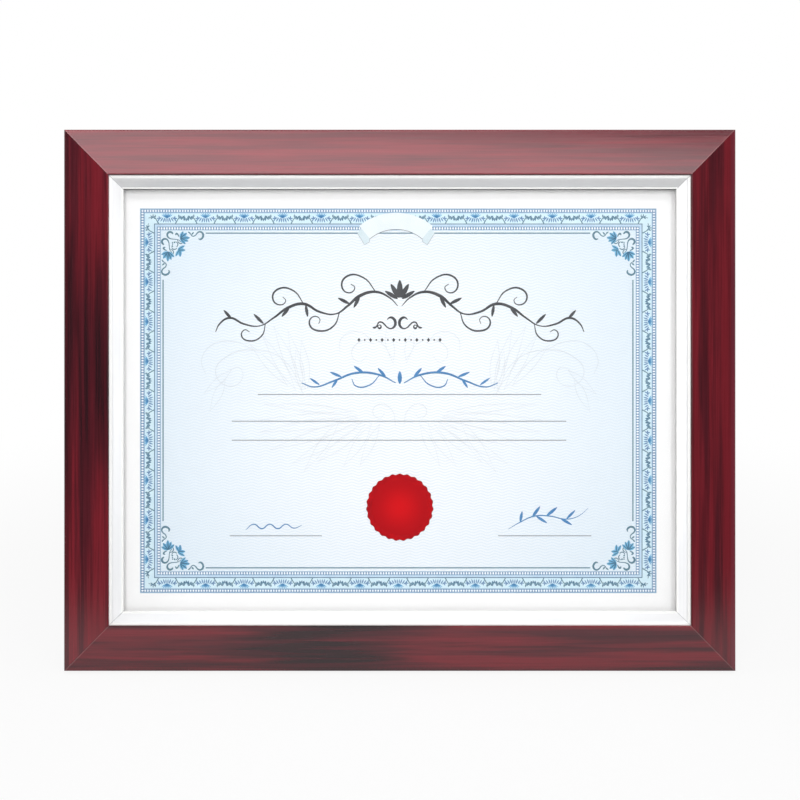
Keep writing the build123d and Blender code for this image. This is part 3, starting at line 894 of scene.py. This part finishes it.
def friezePlaces(first=0, last=0, raised=0.0, step=1.0):  # along each run, from before its middle to past it
    places = []
    for start, direction, length, turn in runsAround(border["lineInset"]):
        pitch, count = frieze["across" if abs(direction.x) > 0.5 else "upright"]
        low, high = first - count, count + last
        gap = step or high - low  # no step leaves the two ends alone
        for reach in [low + gap * index for index in range(round((high - low) / gap) + 1)]:
            spot = start + direction * (length / 2 + reach * pitch) + Vector(border["middle"])
            places.append(Matrix.Translation((*spot, raised)) @ Matrix.Rotation(turn, 4, "Z"))
    return places


lift = frieze["veinLift"]
friezePieces = {
    "frieze_fans": (leafMotif(palmetteFan), friezePlaces(), "azure"),
    "frieze_veins": (leafMotif(palmetteVeins), friezePlaces(raised=lift), "blue"),
    "frieze_legs": (leafMotif(palmetteLegs), friezePlaces(), "violet"),
    "frieze_garlands": (leafMotif(garlandLeaves), friezePlaces(0.5, -0.5), "leaf"),
    "frieze_garland_veins": (leafMotif(garlandVeins, garlandBerry), friezePlaces(0.5, -0.5, lift), "deep"),
    "frieze_corner_sprigs": (leafMotif(cornerSprig), friezePlaces(-0.36, 0.36, step=0.0), "deep"),
    "frieze_arches_right": (stemMotif(garlandStems), friezePlaces(-0.5, -0.5), "teal"),
    "frieze_arches_left": (stemMotif(flipped(garlandStems)), friezePlaces(0.5, 0.5), "teal"),
}
for name, (motif, places, ink) in friezePieces.items():
    newPiece(name, repeated(motif, places), inks[ink], *onPaper)
print("frieze")

# Corner scrollwork, in photo pixels inwards from the border's corner; the upright half mirrors the other
cornerScrolls = [
    [(32.9, 25.4, 0.6), (31.5, 23.9, 0.95), (29.6, 23.4, 1.05), (27.7, 24.6, 1.0), (27.1, 26.6, 0.9),
     (28.2, 28.9, 0.7), (30.6, 30.2, 0.5), (34.3, 30.7, 0.4), (38.1, 31.3, 0.4), (41.0, 33.6, 0.3)],
    [(35.4, 26.8, 0.35), (36.2, 25.1, 0.95), (37.7, 25.9, 0.7), (38.8, 28.2, 0.4)],
    [(37.2, 31.6, 0.3), (38.6, 34.1, 0.45), (40.8, 35.0, 0.5), (42.4, 33.6, 0.45), (40.8, 31.8, 0.25)],
    [(49.6, 24.4, 0.35), (52.4, 27.6, 0.5), (55.1, 26.9, 0.55), (57.3, 24.3, 0.65), (60.0, 23.2, 0.8),
     (62.7, 25.2, 1.0), (62.7, 28.3, 1.0), (60.4, 30.7, 0.9), (58.2, 30.2, 0.4)],
    [(35.4, 33.0, 0.3), (37.4, 34.6, 0.5), (37.6, 36.6, 0.5), (36.4, 38.4, 0.4)],
]
cornerLeaves = [  # root, tip and width
    ((40.0, 29.8), (43.0, 22.8), 3.6), ((40.0, 29.8), (46.8, 24.4), 4.0), ((40.0, 29.8), (49.8, 29.2), 4.2),
    ((40.0, 29.8), (48.2, 32.8), 3.6), ((40.0, 29.8), (45.4, 35.8), 3.2), ((37.6, 41.0), (44.6, 37.0), 3.2),
    ((37.8, 41.4), (45.2, 41.6), 3.6),
]
cornerSmallLeaves = [((50.6, 25.2), (47.8, 23.2), 1.5), ((51.4, 26.2), (53.6, 23.6), 1.6)]
cornerDots = [(34.4, 33.8, 0.9), (32.4, 34.0, 0.7)]
cornerInk = {
    "base": 0.00001,
    "rise": 0.00005,
    "relief": 0.00008,
    "slant": (1.6, 3.2),  # how the mirrored half is shifted
    "vein": (0.28, 0.00002),  # share of the leaf's width, and lift
}


def leafBetween(bm, root, tip, width):
    run = Vector(tip) - Vector(root)
    leaf(bm, root, atan2(run.x, run.y), run.length, width, segments=12)


def bothHalves(points):
    inwards, along = cornerInk["slant"]
    return [points, [(v - inwards, u + along, *rest) for u, v, *rest in points]]


def cornerPlaces():
    places = []
    for x in (-1, 1):
        for y in (-1, 1):
            spot = Vector((x * border["wide"], y * border["high"], 0)) + Vector((*border["middle"], 0))
            places.append(Matrix.Translation(spot) @ Matrix.Diagonal((-x * pixel, -y * pixel, 1, 1)))
    return places


def cornerMotif(leaves, slim=1.0, raised=0.0, dots=()):
    bm = bmesh.new()
    for root, tip, width in leaves:
        for start, end in bothHalves([root, tip]):
            leafBetween(bm, start, end, width * slim)
    for spots in bothHalves(dots):
        for u, v, radius in spots:
            dot(bm, (u, v), radius)
    thicken(bm, cornerInk["rise"], cornerInk["base"] + raised)
    return bm


cornerPieces = {
    "corner_leaves": (cornerMotif(cornerLeaves), "petal"),
    "corner_leaf_veins": (cornerMotif(cornerLeaves, *cornerInk["vein"]), "deep"),
    "corner_scrolls": (cornerMotif(cornerSmallLeaves, dots=cornerDots), "teal"),
}
bothScrolls = [half for points in cornerScrolls for half in bothHalves(points)]
penStrokes(cornerPieces["corner_scrolls"][0], bothScrolls, cornerInk["base"], cornerInk["relief"])
for name, (motif, ink) in cornerPieces.items():
    newPiece(name, repeated(motif, cornerPlaces()), inks[ink], *onPaper)
print("corner scrollwork")

# Ruled lines in photo pixels: left, right and height of those across, top, bottom and place of the others
ruledLines = {
    "rules_writing": {
        "ink": "rule",
        "thick": 0.8,
        "across": [
            (258, 541, 394.5), (232, 566, 421.2), (232, 566, 440.2), (230, 322, 535.6), (498, 591, 535.6),
        ],
    },
    "rules_border": {
        "ink": "teal",
        "thick": 1.15,
        "across": [(206, 358, 233.4), (434, 590, 233.4), (206, 590, 567.6), (378, 416, 233.4)],
    },
    "rules_border_upright": {"ink": "teal", "thick": 1.15, "upright": [(280, 521, 163.4), (280, 521, 632.6)]},
}
ruleFilm = {"base": 0.00001, "rise": 0.00003}


def ruleBar(bm, left, right, top, bottom):
    low, high = atPixel(left, bottom), atPixel(right, top)
    middle, half = (low + high) / 2, (high - low) / 2
    size = Matrix.Translation(middle) @ Matrix.Diagonal((half.x, half.y, 1, 1))
    bmesh.ops.create_grid(bm, x_segments=1, y_segments=1, size=1.0, matrix=size)


for name, rules in ruledLines.items():
    bm = bmesh.new()
    half = rules["thick"] / 2
    for left, right, y in rules.get("across", []):
        ruleBar(bm, left, right, y - half, y + half)
    for top, bottom, x in rules.get("upright", []):
        ruleBar(bm, x - half, x + half, top, bottom)
    thicken(bm, ruleFilm["rise"], ruleFilm["base"])
    newPiece(name, bm, inks[rules["ink"]], *onPaper)

# Arched banner over the top of the border, with its folded tails
banner = {
    "middle": (396.0, 270.4),
    "outer": 57.4,
    "inner": 41.0,
    "spread": 79.4,
    "segments": 28,
    "base": 0.00010,
    "rise": 0.00004,
    "tail": [(357.6, 233.4), (361.2, 228.4), (369.6, 238.0), (369.2, 242.2), (364.7, 244.8)],
    "tailBase": 0.00006,
    "outline": 0.55,
    "tailLine": 0.3,
}


def bannerArc():  # along the lower edge
    radius, half = banner["inner"] * pixel, banner["outline"] * pixel
    reach = radians(banner["spread"] / 2)
    turns = [reach * (step / 6 - 1) for step in range(13)]
    rim = [bannerMiddle + Vector((sin(turn), cos(turn), 0)) * radius for turn in turns]
    return [(*spot.xy, half) for spot in rim]


def bannerTail(side):
    middle = banner["middle"][0]
    return [atPixel(middle - side * (middle - x), y) for x, y in banner["tail"]]


bannerMiddle = atPixel(*banner["middle"])
tails = [bannerTail(side) for side in (-1, 1)]
bm = bmesh.new()
turn = Matrix.Rotation(radians(banner["spread"] / 2), 3, "Z")
ends = [bm.verts.new(bannerMiddle + turn @ Vector((0, banner[key] * pixel, 0))) for key in ("inner", "outer")]
edge = bm.edges.new(ends)
bmesh.ops.spin(
    bm, geom=[*ends, edge], cent=bannerMiddle, axis=(0, 0, -1), angle=radians(banner["spread"]),
    steps=banner["segments"],
)
thicken(bm, banner["rise"], banner["base"])
newPiece("banner_ribbon", bm, inks["banner"], *onPaper)
bm = bmesh.new()
for tail in tails:
    bm.faces.new([bm.verts.new(corner) for corner in tail])
thicken(bm, banner["rise"], banner["tailBase"])
newPiece("banner_tails", bm, inks["tail"], *onPaper)
bm = bmesh.new()
penStrokes(bm, [bannerArc()], banner["base"] + banner["rise"] / 2, steps=3)
for tail in tails:
    rim = [(*tail[index].xy, banner["tailLine"] * pixel) for index in (0, 4, 3, 2)]
    pairs = [list(pair) for pair in zip(rim, rim[1:])]
    penStrokes(bm, pairs, banner["tailBase"] + banner["rise"] / 2, steps=2)
newPiece("banner_outline", bm, inks["rule"], *onPaper)
print("rules and banner")

# Small twin flourish, right half in photo pixels from its middle
twinFlourish = {
    "ink": "grey",
    "full": 1.3,  # widens the strokes
    "middle": (397.4, 323.1),
    "strokes": [
        [(10.4, 3.06, 0.15), (8.6, 4.9, 0.55), (6.1, 5.5, 0.9), (3.3, 3.7, 1.05), (2.0, 0.4, 1.1),
         (2.9, -3.3, 0.9), (6.1, -5.5, 0.55), (9.8, -4.5, 0.5), (13.1, -1.2, 0.55), (15.9, 0.8, 0.6),
         (18.4, 0.6, 0.55), (19.8, -1.6, 0.5), (21.0, -3.7, 0.6), (23.1, -4.7, 0.8), (24.7, -4.5, 0.3)],
        [(19.6, -2.0, 0.4), (19.2, -4.5, 0.5), (17.6, -5.3, 0.75), (16.3, -3.7, 0.5), (17.6, -2.0, 0.35),
         (18.8, -2.7, 0.25)],
    ],
}
# Arched scroll of volutes and leaves high in the field, right half
headingScroll = {
    "ink": "grey",
    "full": 0.85,
    "middle": (399.8, 300.0),
    "strokes": [
        [(2, -6, 0.4), (10, 2, 0.9), (24, 8, 1.5), (40, 4, 1.9), (52, -6, 1.3), (64, -14, 0.8),
         (80, -12, 1.2), (96, -4, 1.7), (112, -8, 1.6), (126, -18, 1.0), (140, -26, 0.6), (156, -24, 1.1),
         (170, -18, 1.3), (180, -24, 0.9), (184, -32, 0.4)],
        [(24, 8, 0.5), (36, 22, 0.9), (52, 24, 1.1), (58, 14, 1.0), (51, 7, 0.8), (45, 12, 0.6),
         (49, 16, 0.4)],
        [(60, -12, 0.5), (66, -26, 0.9), (80, -31, 1.1), (90, -25, 1.0), (87, -17, 0.7), (80, -19, 0.5),
         (81, -24, 0.35)],
        [(96, -4, 0.5), (106, 9, 0.9), (121, 11, 1.1), (127, 2, 1.0), (120, -5, 0.75), (114, -1, 0.5),
         (117, 3, 0.35)],
        [(134, -23, 0.4), (138, -36, 0.8), (150, -41, 0.9), (158, -36, 0.8), (155, -30, 0.6),
         (150, -32, 0.4)],
    ],
    "leaves": [
        ((0, 2), (0, 20), 6), ((1, 2), (9, 16), 5), ((2, 1), (15, 9), 4.2), ((40, 4), (46, -8), 3.6),
        ((50, -4), (62, 2), 3.4), ((94, -5), (92, -17), 3.2), ((110, -7), (118, -17), 3.4),
        ((136, -24), (146, -14), 3.2), ((168, -19), (176, -10), 3.0),
    ],
}
# Small blue spray on the uppermost ruled line, right half
nameSpray = {
    "ink": "pen",
    "full": 1.1,
    "middle": (399.8, 381.0),
    "strokes": [
        [(4, -2, 0.4), (20, 6, 0.9), (44, 8, 1.0), (66, 0, 0.8), (86, -6, 0.6), (98, -2, 0.4)],
        [(20, 6, 0.3), (30, -4, 0.6), (44, -5, 0.6), (48, 2, 0.3)],
    ],
    "leaves": [
        ((0, -3), (0, 10), 4.4), ((14, 4), (22, 13), 3), ((36, 8), (46, 15), 3), ((58, 4), (70, 9), 2.8),
        ((62, 2), (68, -7), 2.6), ((80, -4), (90, 3), 2.4),
    ],
}
penFilm = {"base": 0.00002, "rise": 0.00004, "relief": 0.08, "steps": 6}

# Faint leaf crest printed in fine outlines in the middle of the field, right half
fieldCrest = {
    "ink": "ghost",
    "full": 1.0,
    "middle": (399.8, 400.0),
    "line": 0.32,
    "strokes": [
        [(96, 6, 0.2), (116, 40, 0.35), (146, 50, 0.4), (172, 44, 0.4), (184, 28, 0.4), (172, 14, 0.35),
         (158, 20, 0.3), (160, 32, 0.3), (170, 30, 0.2)],
        [(146, 50, 0.2), (164, 58, 0.35), (186, 56, 0.4), (198, 40, 0.35), (194, 26, 0.2)],
        [(6, 36, 0.2), (20, 58, 0.35), (40, 58, 0.4), (48, 46, 0.35), (40, 38, 0.3), (33, 44, 0.2)],
        [(26, 56, 0.2), (40, 68, 0.35), (58, 62, 0.35), (60, 48, 0.2)],
        [(4, -26, 0.2), (8, -10, 0.35), (20, -4, 0.4), (27, -12, 0.35), (20, -18, 0.3), (15, -13, 0.2)],
    ],
    "outlined": [
        ((92, 12), (98, 60), 9), ((94, 10), (112, 70), 9), ((98, 10), (126, 74), 9),
        ((104, 10), (138, 66), 8), ((112, 14), (150, 56), 7), ((174, 22), (190, -12), 8),
        ((168, 30), (196, 6), 7), ((42, -16), (142, -20), 8), ((42, -18), (140, -32), 9),
        ((40, -20), (130, -50), 10), ((38, -22), (108, -64), 10), ((34, -24), (82, -62), 9),
        ((28, -24), (56, -66), 9), ((20, -24), (40, -66), 8), ((46, -12), (136, -4), 7),
        ((6, 40), (14, 70), 8), ((98, 8), (104, 50), 7), ((60, -20), (96, -72), 9),
    ],
    "film": {"base": 0.000003, "rise": 0.000006},
}
# A row of small lozenges under the twin flourish, and a wave and a sprig on the two short lines
lozenges = {"y": 340.0, "x": (359.0, 440.0), "count": 15, "wide": 3.2, "high": 4.2, "small": 0.6}
penLines = {
    "ink": "pen",
    "strokes": [
        [(246, 529.5, 0.25), (254, 524.0, 0.55), (262, 528.5, 0.65), (270, 524.0, 0.55),
         (278, 528.5, 0.65), (286, 524.0, 0.55), (294, 528.0, 0.5), (302, 525.0, 0.2)],
        [(508, 529, 0.2), (520, 522, 0.5), (534, 516, 0.6), (550, 516, 0.6), (566, 519, 0.5),
         (578, 516, 0.35), (588, 508, 0.15)],
    ],
    "leaves": [
        ((520, 522), (522, 511), 3.0), ((532, 517), (540, 506), 3.2), ((546, 516), (557, 507), 3.2),
        ((536, 516), (547, 523), 2.8), ((560, 518), (572, 525), 2.8), ((566, 519), (575, 510), 2.6),
    ],
}


def leafSpread(bm, leaves, toSheet, film):  # flat leaves laid out in pixels, then put on the sheet
    for root, tip, width in leaves:
        leafBetween(bm, root, tip, width)
    if bm.faces:
        bmesh.ops.transform(bm, matrix=toSheet, verts=bm.verts)
        thicken(bm, film["rise"], film["base"])


def leafEdges(root, tip, width, half):  # a leaf as the two strokes of its outline
    root, tip = Vector(root), Vector(tip)
    run = tip - root
    aside = Vector((-run.y, run.x)).normalized() * width / 2
    bellies = [root + run * leafShape["belly"] + aside * side for side in (-1, 1)]
    start, end = (*root, half * leafShape["rootLine"]), (*tip, half * leafShape["tipLine"])
    return [[start, (*belly, half), end] for belly in bellies]


def scrollPiece(name, look):
    bm = bmesh.new()
    film = look.get("film", penFilm)
    middle = atPixel(*look["middle"])
    right = look.get("leaves", [])
    left = [((-x, y), (-tipX, tipY), width) for (x, y), (tipX, tipY), width in right if x or tipX]
    leafSpread(bm, right + left, Matrix.Translation(middle) @ Matrix.Diagonal((pixel, pixel, 1, 1)), film)
    outlines = [edge for each in look.get("outlined", []) for edge in leafEdges(*each, look["line"])]
    fuller = [[(x, y, half * look["full"]) for x, y, half in points] for points in look["strokes"] + outlines]
    relief = penFilm["relief"] * film["rise"] / penFilm["rise"]
    both = scaled(fuller + flipped(fuller), pixel, middle.xy)
    penStrokes(bm, both, film["base"], relief, penFilm["steps"])
    newPiece(name, bm, inks[look["ink"]], *onPaper)


scrollPiece("field_crest", fieldCrest)
scrollPiece("twin_flourish", twinFlourish)
scrollPiece("heading_scroll", headingScroll)
scrollPiece("name_spray", nameSpray)
bm = bmesh.new()
for step in range(lozenges["count"]):
    share = step / (lozenges["count"] - 1)
    spot = atPixel(lozenges["x"][0] + share * (lozenges["x"][1] - lozenges["x"][0]), lozenges["y"])
    size = pixel * (lozenges["small"] if step % 2 else 1)
    stretch = Matrix.Diagonal((lozenges["wide"] * size, lozenges["high"] * size, 1, 1))
    place = Matrix.Translation(spot) @ stretch
    bmesh.ops.create_circle(bm, cap_ends=True, segments=4, radius=0.5, matrix=place)
thicken(bm, penFilm["rise"], penFilm["base"])
newPiece("lozenge_row", bm, inks["grey"], *onPaper)
bm = bmesh.new()
sprig = [(atPixel(*root), atPixel(*tip), width * pixel) for root, tip, width in penLines["leaves"]]
leafSpread(bm, [(root.xy, tip.xy, width) for root, tip, width in sprig], Matrix(), penFilm)
drawn = [[(*atPixel(x, y).xy, half * pixel) for x, y, half in points] for points in penLines["strokes"]]
penStrokes(bm, drawn, penFilm["base"], penFilm["relief"], penFilm["steps"])
newPiece("pen_flourishes", bm, inks[penLines["ink"]], *onPaper)
print("scrolls")

# Red wafer seal: pressed foil with a wavy edge, a pleated rim and a faintly domed middle
seal = {
    "red": srgb(208, 16, 24),
    "redOut": srgb(178, 12, 22),  # towards the rim
    "rim": srgb(188, 12, 22),
    "rimDeep": srgb(164, 14, 24),
    "edge": srgb(118, 20, 28),
    "redFall": (0.001, 0.0135),
    "rimFrom": (0.0132, 0.0138),
    "edgeFrom": (0.0156, 0.0166, 0.0, 0.8),
    "rimBand": (0.35, 0.65),
    "radius": 0.0165,
    "depth": 0.0006,
    "waves": 27,
    "perWave": 8,
    "drop": 0.0523,
    "thick": 0.00024,
    "rimStart": 0.0141,
    "pleat": 0.00008,
    "pleatRise": 3,  # how soon the pleats reach their full depth
    "profile": [  # radius and height, from the middle underneath to the middle on top
        (0, 0), (0.0141, 0), (0.0165, 0), (0.0165, 0.00012), (0.01625, 0.0002), (0.0157, 0.00024),
        (0.0146, 0.00024), (0.0142, 0.00022), (0.0139, 0.00014), (0.0136, 0.00019), (0.010, 0.00022),
        (0.005, 0.00024), (0, 0.00024),
    ],
}


def sealMaterial():
    middle = sheetMiddle - up * seal["drop"]
    material, tree, shader = makeMaterial("sealRed", Roughness=0.55, Specular_IOR_Level=0.1)
    face = leaningCoords(tree, middle)
    x, y, z = split(tree, face)
    out = calc(tree, "SQRT", calc(tree, "ADD", calc(tree, "POWER", x, 2.0), calc(tree, "POWER", y, 2.0)))
    body = mixColour(tree, fade(tree, out, *seal["redFall"]), seal["red"], seal["redOut"])
    took = placeGroup(tree, inkMottle, face)["Tone"]
    rim = mixColour(tree, fade(tree, took, *seal["rimBand"]), seal["rim"], seal["rimDeep"])
    ring = mixColour(tree, fade(tree, out, *seal["rimFrom"]), body, rim)
    edge = mixColour(tree, fade(tree, out, *seal["edgeFrom"]), ring, seal["edge"])
    plug(tree, shader.inputs, Base_Color=edge)
    return material


def sealMesh():
    bm = bmesh.new()
    outline = [bm.verts.new((radius, 0, height)) for radius, height in seal["profile"]]
    edges = [bm.edges.new(pair) for pair in zip(outline, outline[1:])]
    bmesh.ops.spin(
        bm, geom=outline + edges, cent=(0, 0, 0), axis=(0, 0, 1), angle=2 * pi,
        steps=seal["waves"] * seal["perWave"], use_merge=True,
    )
    bmesh.ops.remove_doubles(bm, verts=bm.verts, dist=1e-7)
    for vert in bm.verts:  # the edge runs in waves and the rim is pleated to match
        radius = vert.co.xy.length
        share = max(0, (radius - seal["rimStart"]) / (seal["radius"] - seal["rimStart"]))
        valley = 0.5 - 0.5 * cos(atan2(vert.co.x, vert.co.y) * seal["waves"])
        vert.co.xy *= 1 - valley * share * seal["depth"] / seal["radius"]
        if vert.co.z > 0:
            pleated = valley * min(1, share * seal["pleatRise"])
            vert.co.z -= pleated * seal["pleat"] * vert.co.z / seal["thick"]
    bmesh.ops.translate(bm, vec=(0, -seal["drop"], 0), verts=bm.verts)
    return bm


sealPiece = newPiece("pressed_seal", sealMesh(), sealMaterial(), "seal_red", sheetPlace)
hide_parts("wafer_seal")
print("seal")

# Woven ribbon from the board to the open leg, with a tab flat on each
ribbon = {
    "width": 0.010,
    "thick": 0.0004,
    "tab": 0.012,
    "boardReach": 0.10323,  # down the board from the hinge to the upper fold
    "legReach": 0.12123,  # down the leg from the hinge to the lower fold
    "boardOff": 0.00275,  # from the hinge axis forward to the ribbon on the board
    "legOff": 0.00165,  # likewise to the ribbon on the leg's front
    "length": 0.0757,
    "fold": 0.0009,
    "dark": srgb(16, 16, 18),
    "light": srgb(52, 51, 54),
    "rib": 0.0006,
    "warp": 0.0005,
    "warpShare": 0.35,
    "weaveBand": (-1.2, 1.2),
    "relief": (0.5, 0.0001),
}
hinge = Vector(joints["easel_hinge"]["pos_m"])
openAngle = radians(-joints["easel_hinge"]["range_deg"][0])
downLeg = -front * sin(openAngle) - up * cos(openAngle)
offLeg = front * cos(openAngle) - up * sin(openAngle)


def ribbonMaterial():
    material, tree, shader = makeMaterial("ribbonWeave", Roughness=0.7, Sheen_Weight=0.3, Sheen_Roughness=0.4)
    face = leaningCoords(tree)
    x, y, z = split(tree, face)
    ribs = calc(tree, "SINE", calc(tree, "MULTIPLY", y, 2 * pi / ribbon["rib"]))
    warp = calc(tree, "SINE", calc(tree, "MULTIPLY", x, 2 * pi / ribbon["warp"]))
    weave = calc(tree, "MULTIPLY_ADD", warp, ribbon["warpShare"], ribs)
    woven = mixColour(tree, fade(tree, weave, *ribbon["weaveBand"]), ribbon["dark"], ribbon["light"])
    plug(tree, shader.inputs, Base_Color=woven)
    bump(tree, shader, weave, *ribbon["relief"])
    return material


def ribbonMesh():
    boardEnd = hinge + front * ribbon["boardOff"] - up * ribbon["boardReach"]
    legEnd = hinge + downLeg * ribbon["legReach"] + offLeg * ribbon["legOff"]
    route = [boardEnd + up * ribbon["tab"], boardEnd, legEnd, legEnd + downLeg * ribbon["tab"]]
    bm = bmesh.new()
    verts = [bm.verts.new(point - across * ribbon["width"] / 2) for point in route]
    edges = [bm.edges.new(pair) for pair in zip(verts, verts[1:])]
    grown = bmesh.ops.extrude_edge_only(bm, edges=edges)["geom"]
    moved = [part for part in grown if isinstance(part, bmesh.types.BMVert)]
    bmesh.ops.translate(bm, vec=across * ribbon["width"], verts=moved)
    folds = [edge for edge in bm.edges if len(edge.link_faces) == 2]
    bmesh.ops.bevel(
        bm, geom=folds, offset=ribbon["fold"], affect="EDGES", segments=4, profile=0.5, material=-1,
        clamp_overlap=True,
    )
    bmesh.ops.recalc_face_normals(bm, faces=bm.faces)
    bmesh.ops.solidify(bm, geom=bm.faces[:], thickness=ribbon["thick"])
    return bm


ribbonPiece = newPiece("ribbon_woven", ribbonMesh(), ribbonMaterial(), "ribbon")
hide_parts("ribbon_stay")
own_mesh(ribbonPiece)
print("ribbon")

# Camera square to the leaning face, as the photo was taken
photoCamera = {
    "distance": 0.6099,
    "lens": 56.05,
    "sensor": 36.0,
    "shift": (0.00025, 0.000375),
    "nearest": 0.01,
}
camera = bpy.data.cameras.new("photoCamera")
camera.lens = photoCamera["lens"]
camera.sensor_width = photoCamera["sensor"]
camera.clip_start = photoCamera["nearest"]
camera.shift_x, camera.shift_y = photoCamera["shift"]
cameraObject = bpy.data.objects.new("photoCamera", camera)
cameraObject.matrix_world = standing(sheetMiddle + front * photoCamera["distance"])
scene.collection.objects.link(cameraObject)
scene.camera = cameraObject

# Pale floor that curves up behind
floorLook = {
    "grey": (0.75, 0.75, 0.75, 1),
    "half": 6.0,
    "wallAt": 1.6,
    "wallHigh": 3.0,
    "sweep": 0.6,
    "near": (0.2, 0.5, 0.9, 1.0),  # how white it is near the frame, so that its shadow shows
    "mirroredWhite": 0.7,  # how white it is in reflections
}


def floorMaterial():
    material, tree, shader = makeMaterial("paleFloor", Base_Color=floorLook["grey"], Roughness=0.8)
    rays = makeNode(tree, "ShaderNodeLightPath").outputs
    seen = calc(tree, "MULTIPLY", rays["Is Glossy Ray"], floorLook["mirroredWhite"])
    seen = calc(tree, "MAXIMUM", rays["Is Camera Ray"], seen)
    seen = calc(tree, "MAXIMUM", seen, rays["Is Transmission Ray"])
    place = makeNode(tree, "ShaderNodeTexCoord").outputs["Object"]
    length = makeNode(tree, "ShaderNodeVectorMath", operation="LENGTH")
    tree.links.new(place, length.inputs[0])
    away = fade(tree, length.outputs["Value"], *floorLook["near"])
    white = makeNode(tree, "ShaderNodeEmission")
    mixShaders(tree, calc(tree, "MULTIPLY", seen, away), shader, white, "Material Output")
    return material


bm = bmesh.new()
bmesh.ops.create_grid(bm, x_segments=1, y_segments=1, size=floorLook["half"])
for vert in bm.verts:
    if vert.co.y > 0:
        vert.co.y = floorLook["wallAt"]
backEdge = [edge for edge in bm.edges if all(vert.co.y > 0 for vert in edge.verts)]
grown = bmesh.ops.extrude_edge_only(bm, edges=backEdge)["geom"]
wallTop = [part for part in grown if isinstance(part, bmesh.types.BMVert)]
bmesh.ops.translate(bm, vec=(0, 0, floorLook["wallHigh"]), verts=wallTop)
corner = [edge for edge in bm.edges if len(edge.link_faces) == 2]
bmesh.ops.bevel(
    bm, geom=corner, offset=floorLook["sweep"], affect="EDGES", segments=16, profile=0.5, material=-1
)
floorMesh = bpy.data.meshes.new("floor")
bm.to_mesh(floorMesh)
bm.free()
floorMesh.shade_smooth()
floorMesh.materials.append(floorMaterial())
floorObject = bpy.data.objects.new("floor", floorMesh)
scene.collection.objects.link(floorObject)

# Soft studio lamps round the frame: turn from the front, height angle, size and power
lampDistance = 0.95
lamps = {
    "frontFill": {"turn": -11, "rise": 24, "size": (0.5, 0.45), "power": 3.22, "mirrored": False},
    "topStrip": {"turn": -4, "rise": 65, "size": (1.4, 0.14), "power": 2.2},
    "zenithStrip": {"turn": 0, "rise": 97, "size": (1.0, 0.25), "power": 1.6},
    "upperSoftbox": {"turn": 8, "rise": 42, "size": (1.2, 0.3), "power": 1.7},
    "rightKey": {"turn": 33, "rise": 28, "size": (0.3, 0.6), "power": 1.55},
    "rightSoftbox": {"turn": 80, "rise": 18, "size": (0.35, 0.9), "power": 2.0},
    "leftSoftbox": {"turn": -80, "rise": 18, "size": (0.35, 0.9), "power": 3.0},
}
for name, lamp in lamps.items():
    light = bpy.data.lights.new(name, "AREA")
    light.shape = "RECTANGLE"
    light.size, light.size_y = lamp["size"]
    light.energy = lamp["power"]
    turn, rise = radians(lamp["turn"]), radians(lamp["rise"])
    direction = Vector((sin(turn) * cos(rise), -cos(turn) * cos(rise), sin(rise)))
    lampObject = bpy.data.objects.new(name, light)
    lampObject.location = sheetMiddle + direction * lampDistance
    lampObject.rotation_euler = (-direction).to_track_quat("-Z", "Y").to_euler()
    lampObject.visible_glossy = lamp.get("mirrored", True)  # the front fill leaves no glare on the glazing
    lampObject.visible_transmission = lamp.get("mirrored", True)
    scene.collection.objects.link(lampObject)

# White surroundings to the camera, dim to the lamps' light and in reflections
studio = {"dim": 0.06, "mirroredWhite": 0.02}
world = bpy.data.worlds.new("studio")
world.use_nodes = True
tree = world.node_tree
dim = tree.nodes["Background"]
dim.inputs["Color"].default_value = (studio["dim"], studio["dim"], studio["dim"], 1)
white = makeNode(tree, "ShaderNodeBackground")
white.inputs["Color"].default_value = (1, 1, 1, 1)
rays = makeNode(tree, "ShaderNodeLightPath").outputs
bounced = calc(tree, "MAXIMUM", rays["Is Glossy Ray"], rays["Is Transmission Ray"])
seen = calc(tree, "MAXIMUM", rays["Is Camera Ray"], calc(tree, "MULTIPLY", bounced, studio["mirroredWhite"]))
mixShaders(tree, seen, dim, white, "World Output")
scene.world = world
print("camera, floor and lamps")
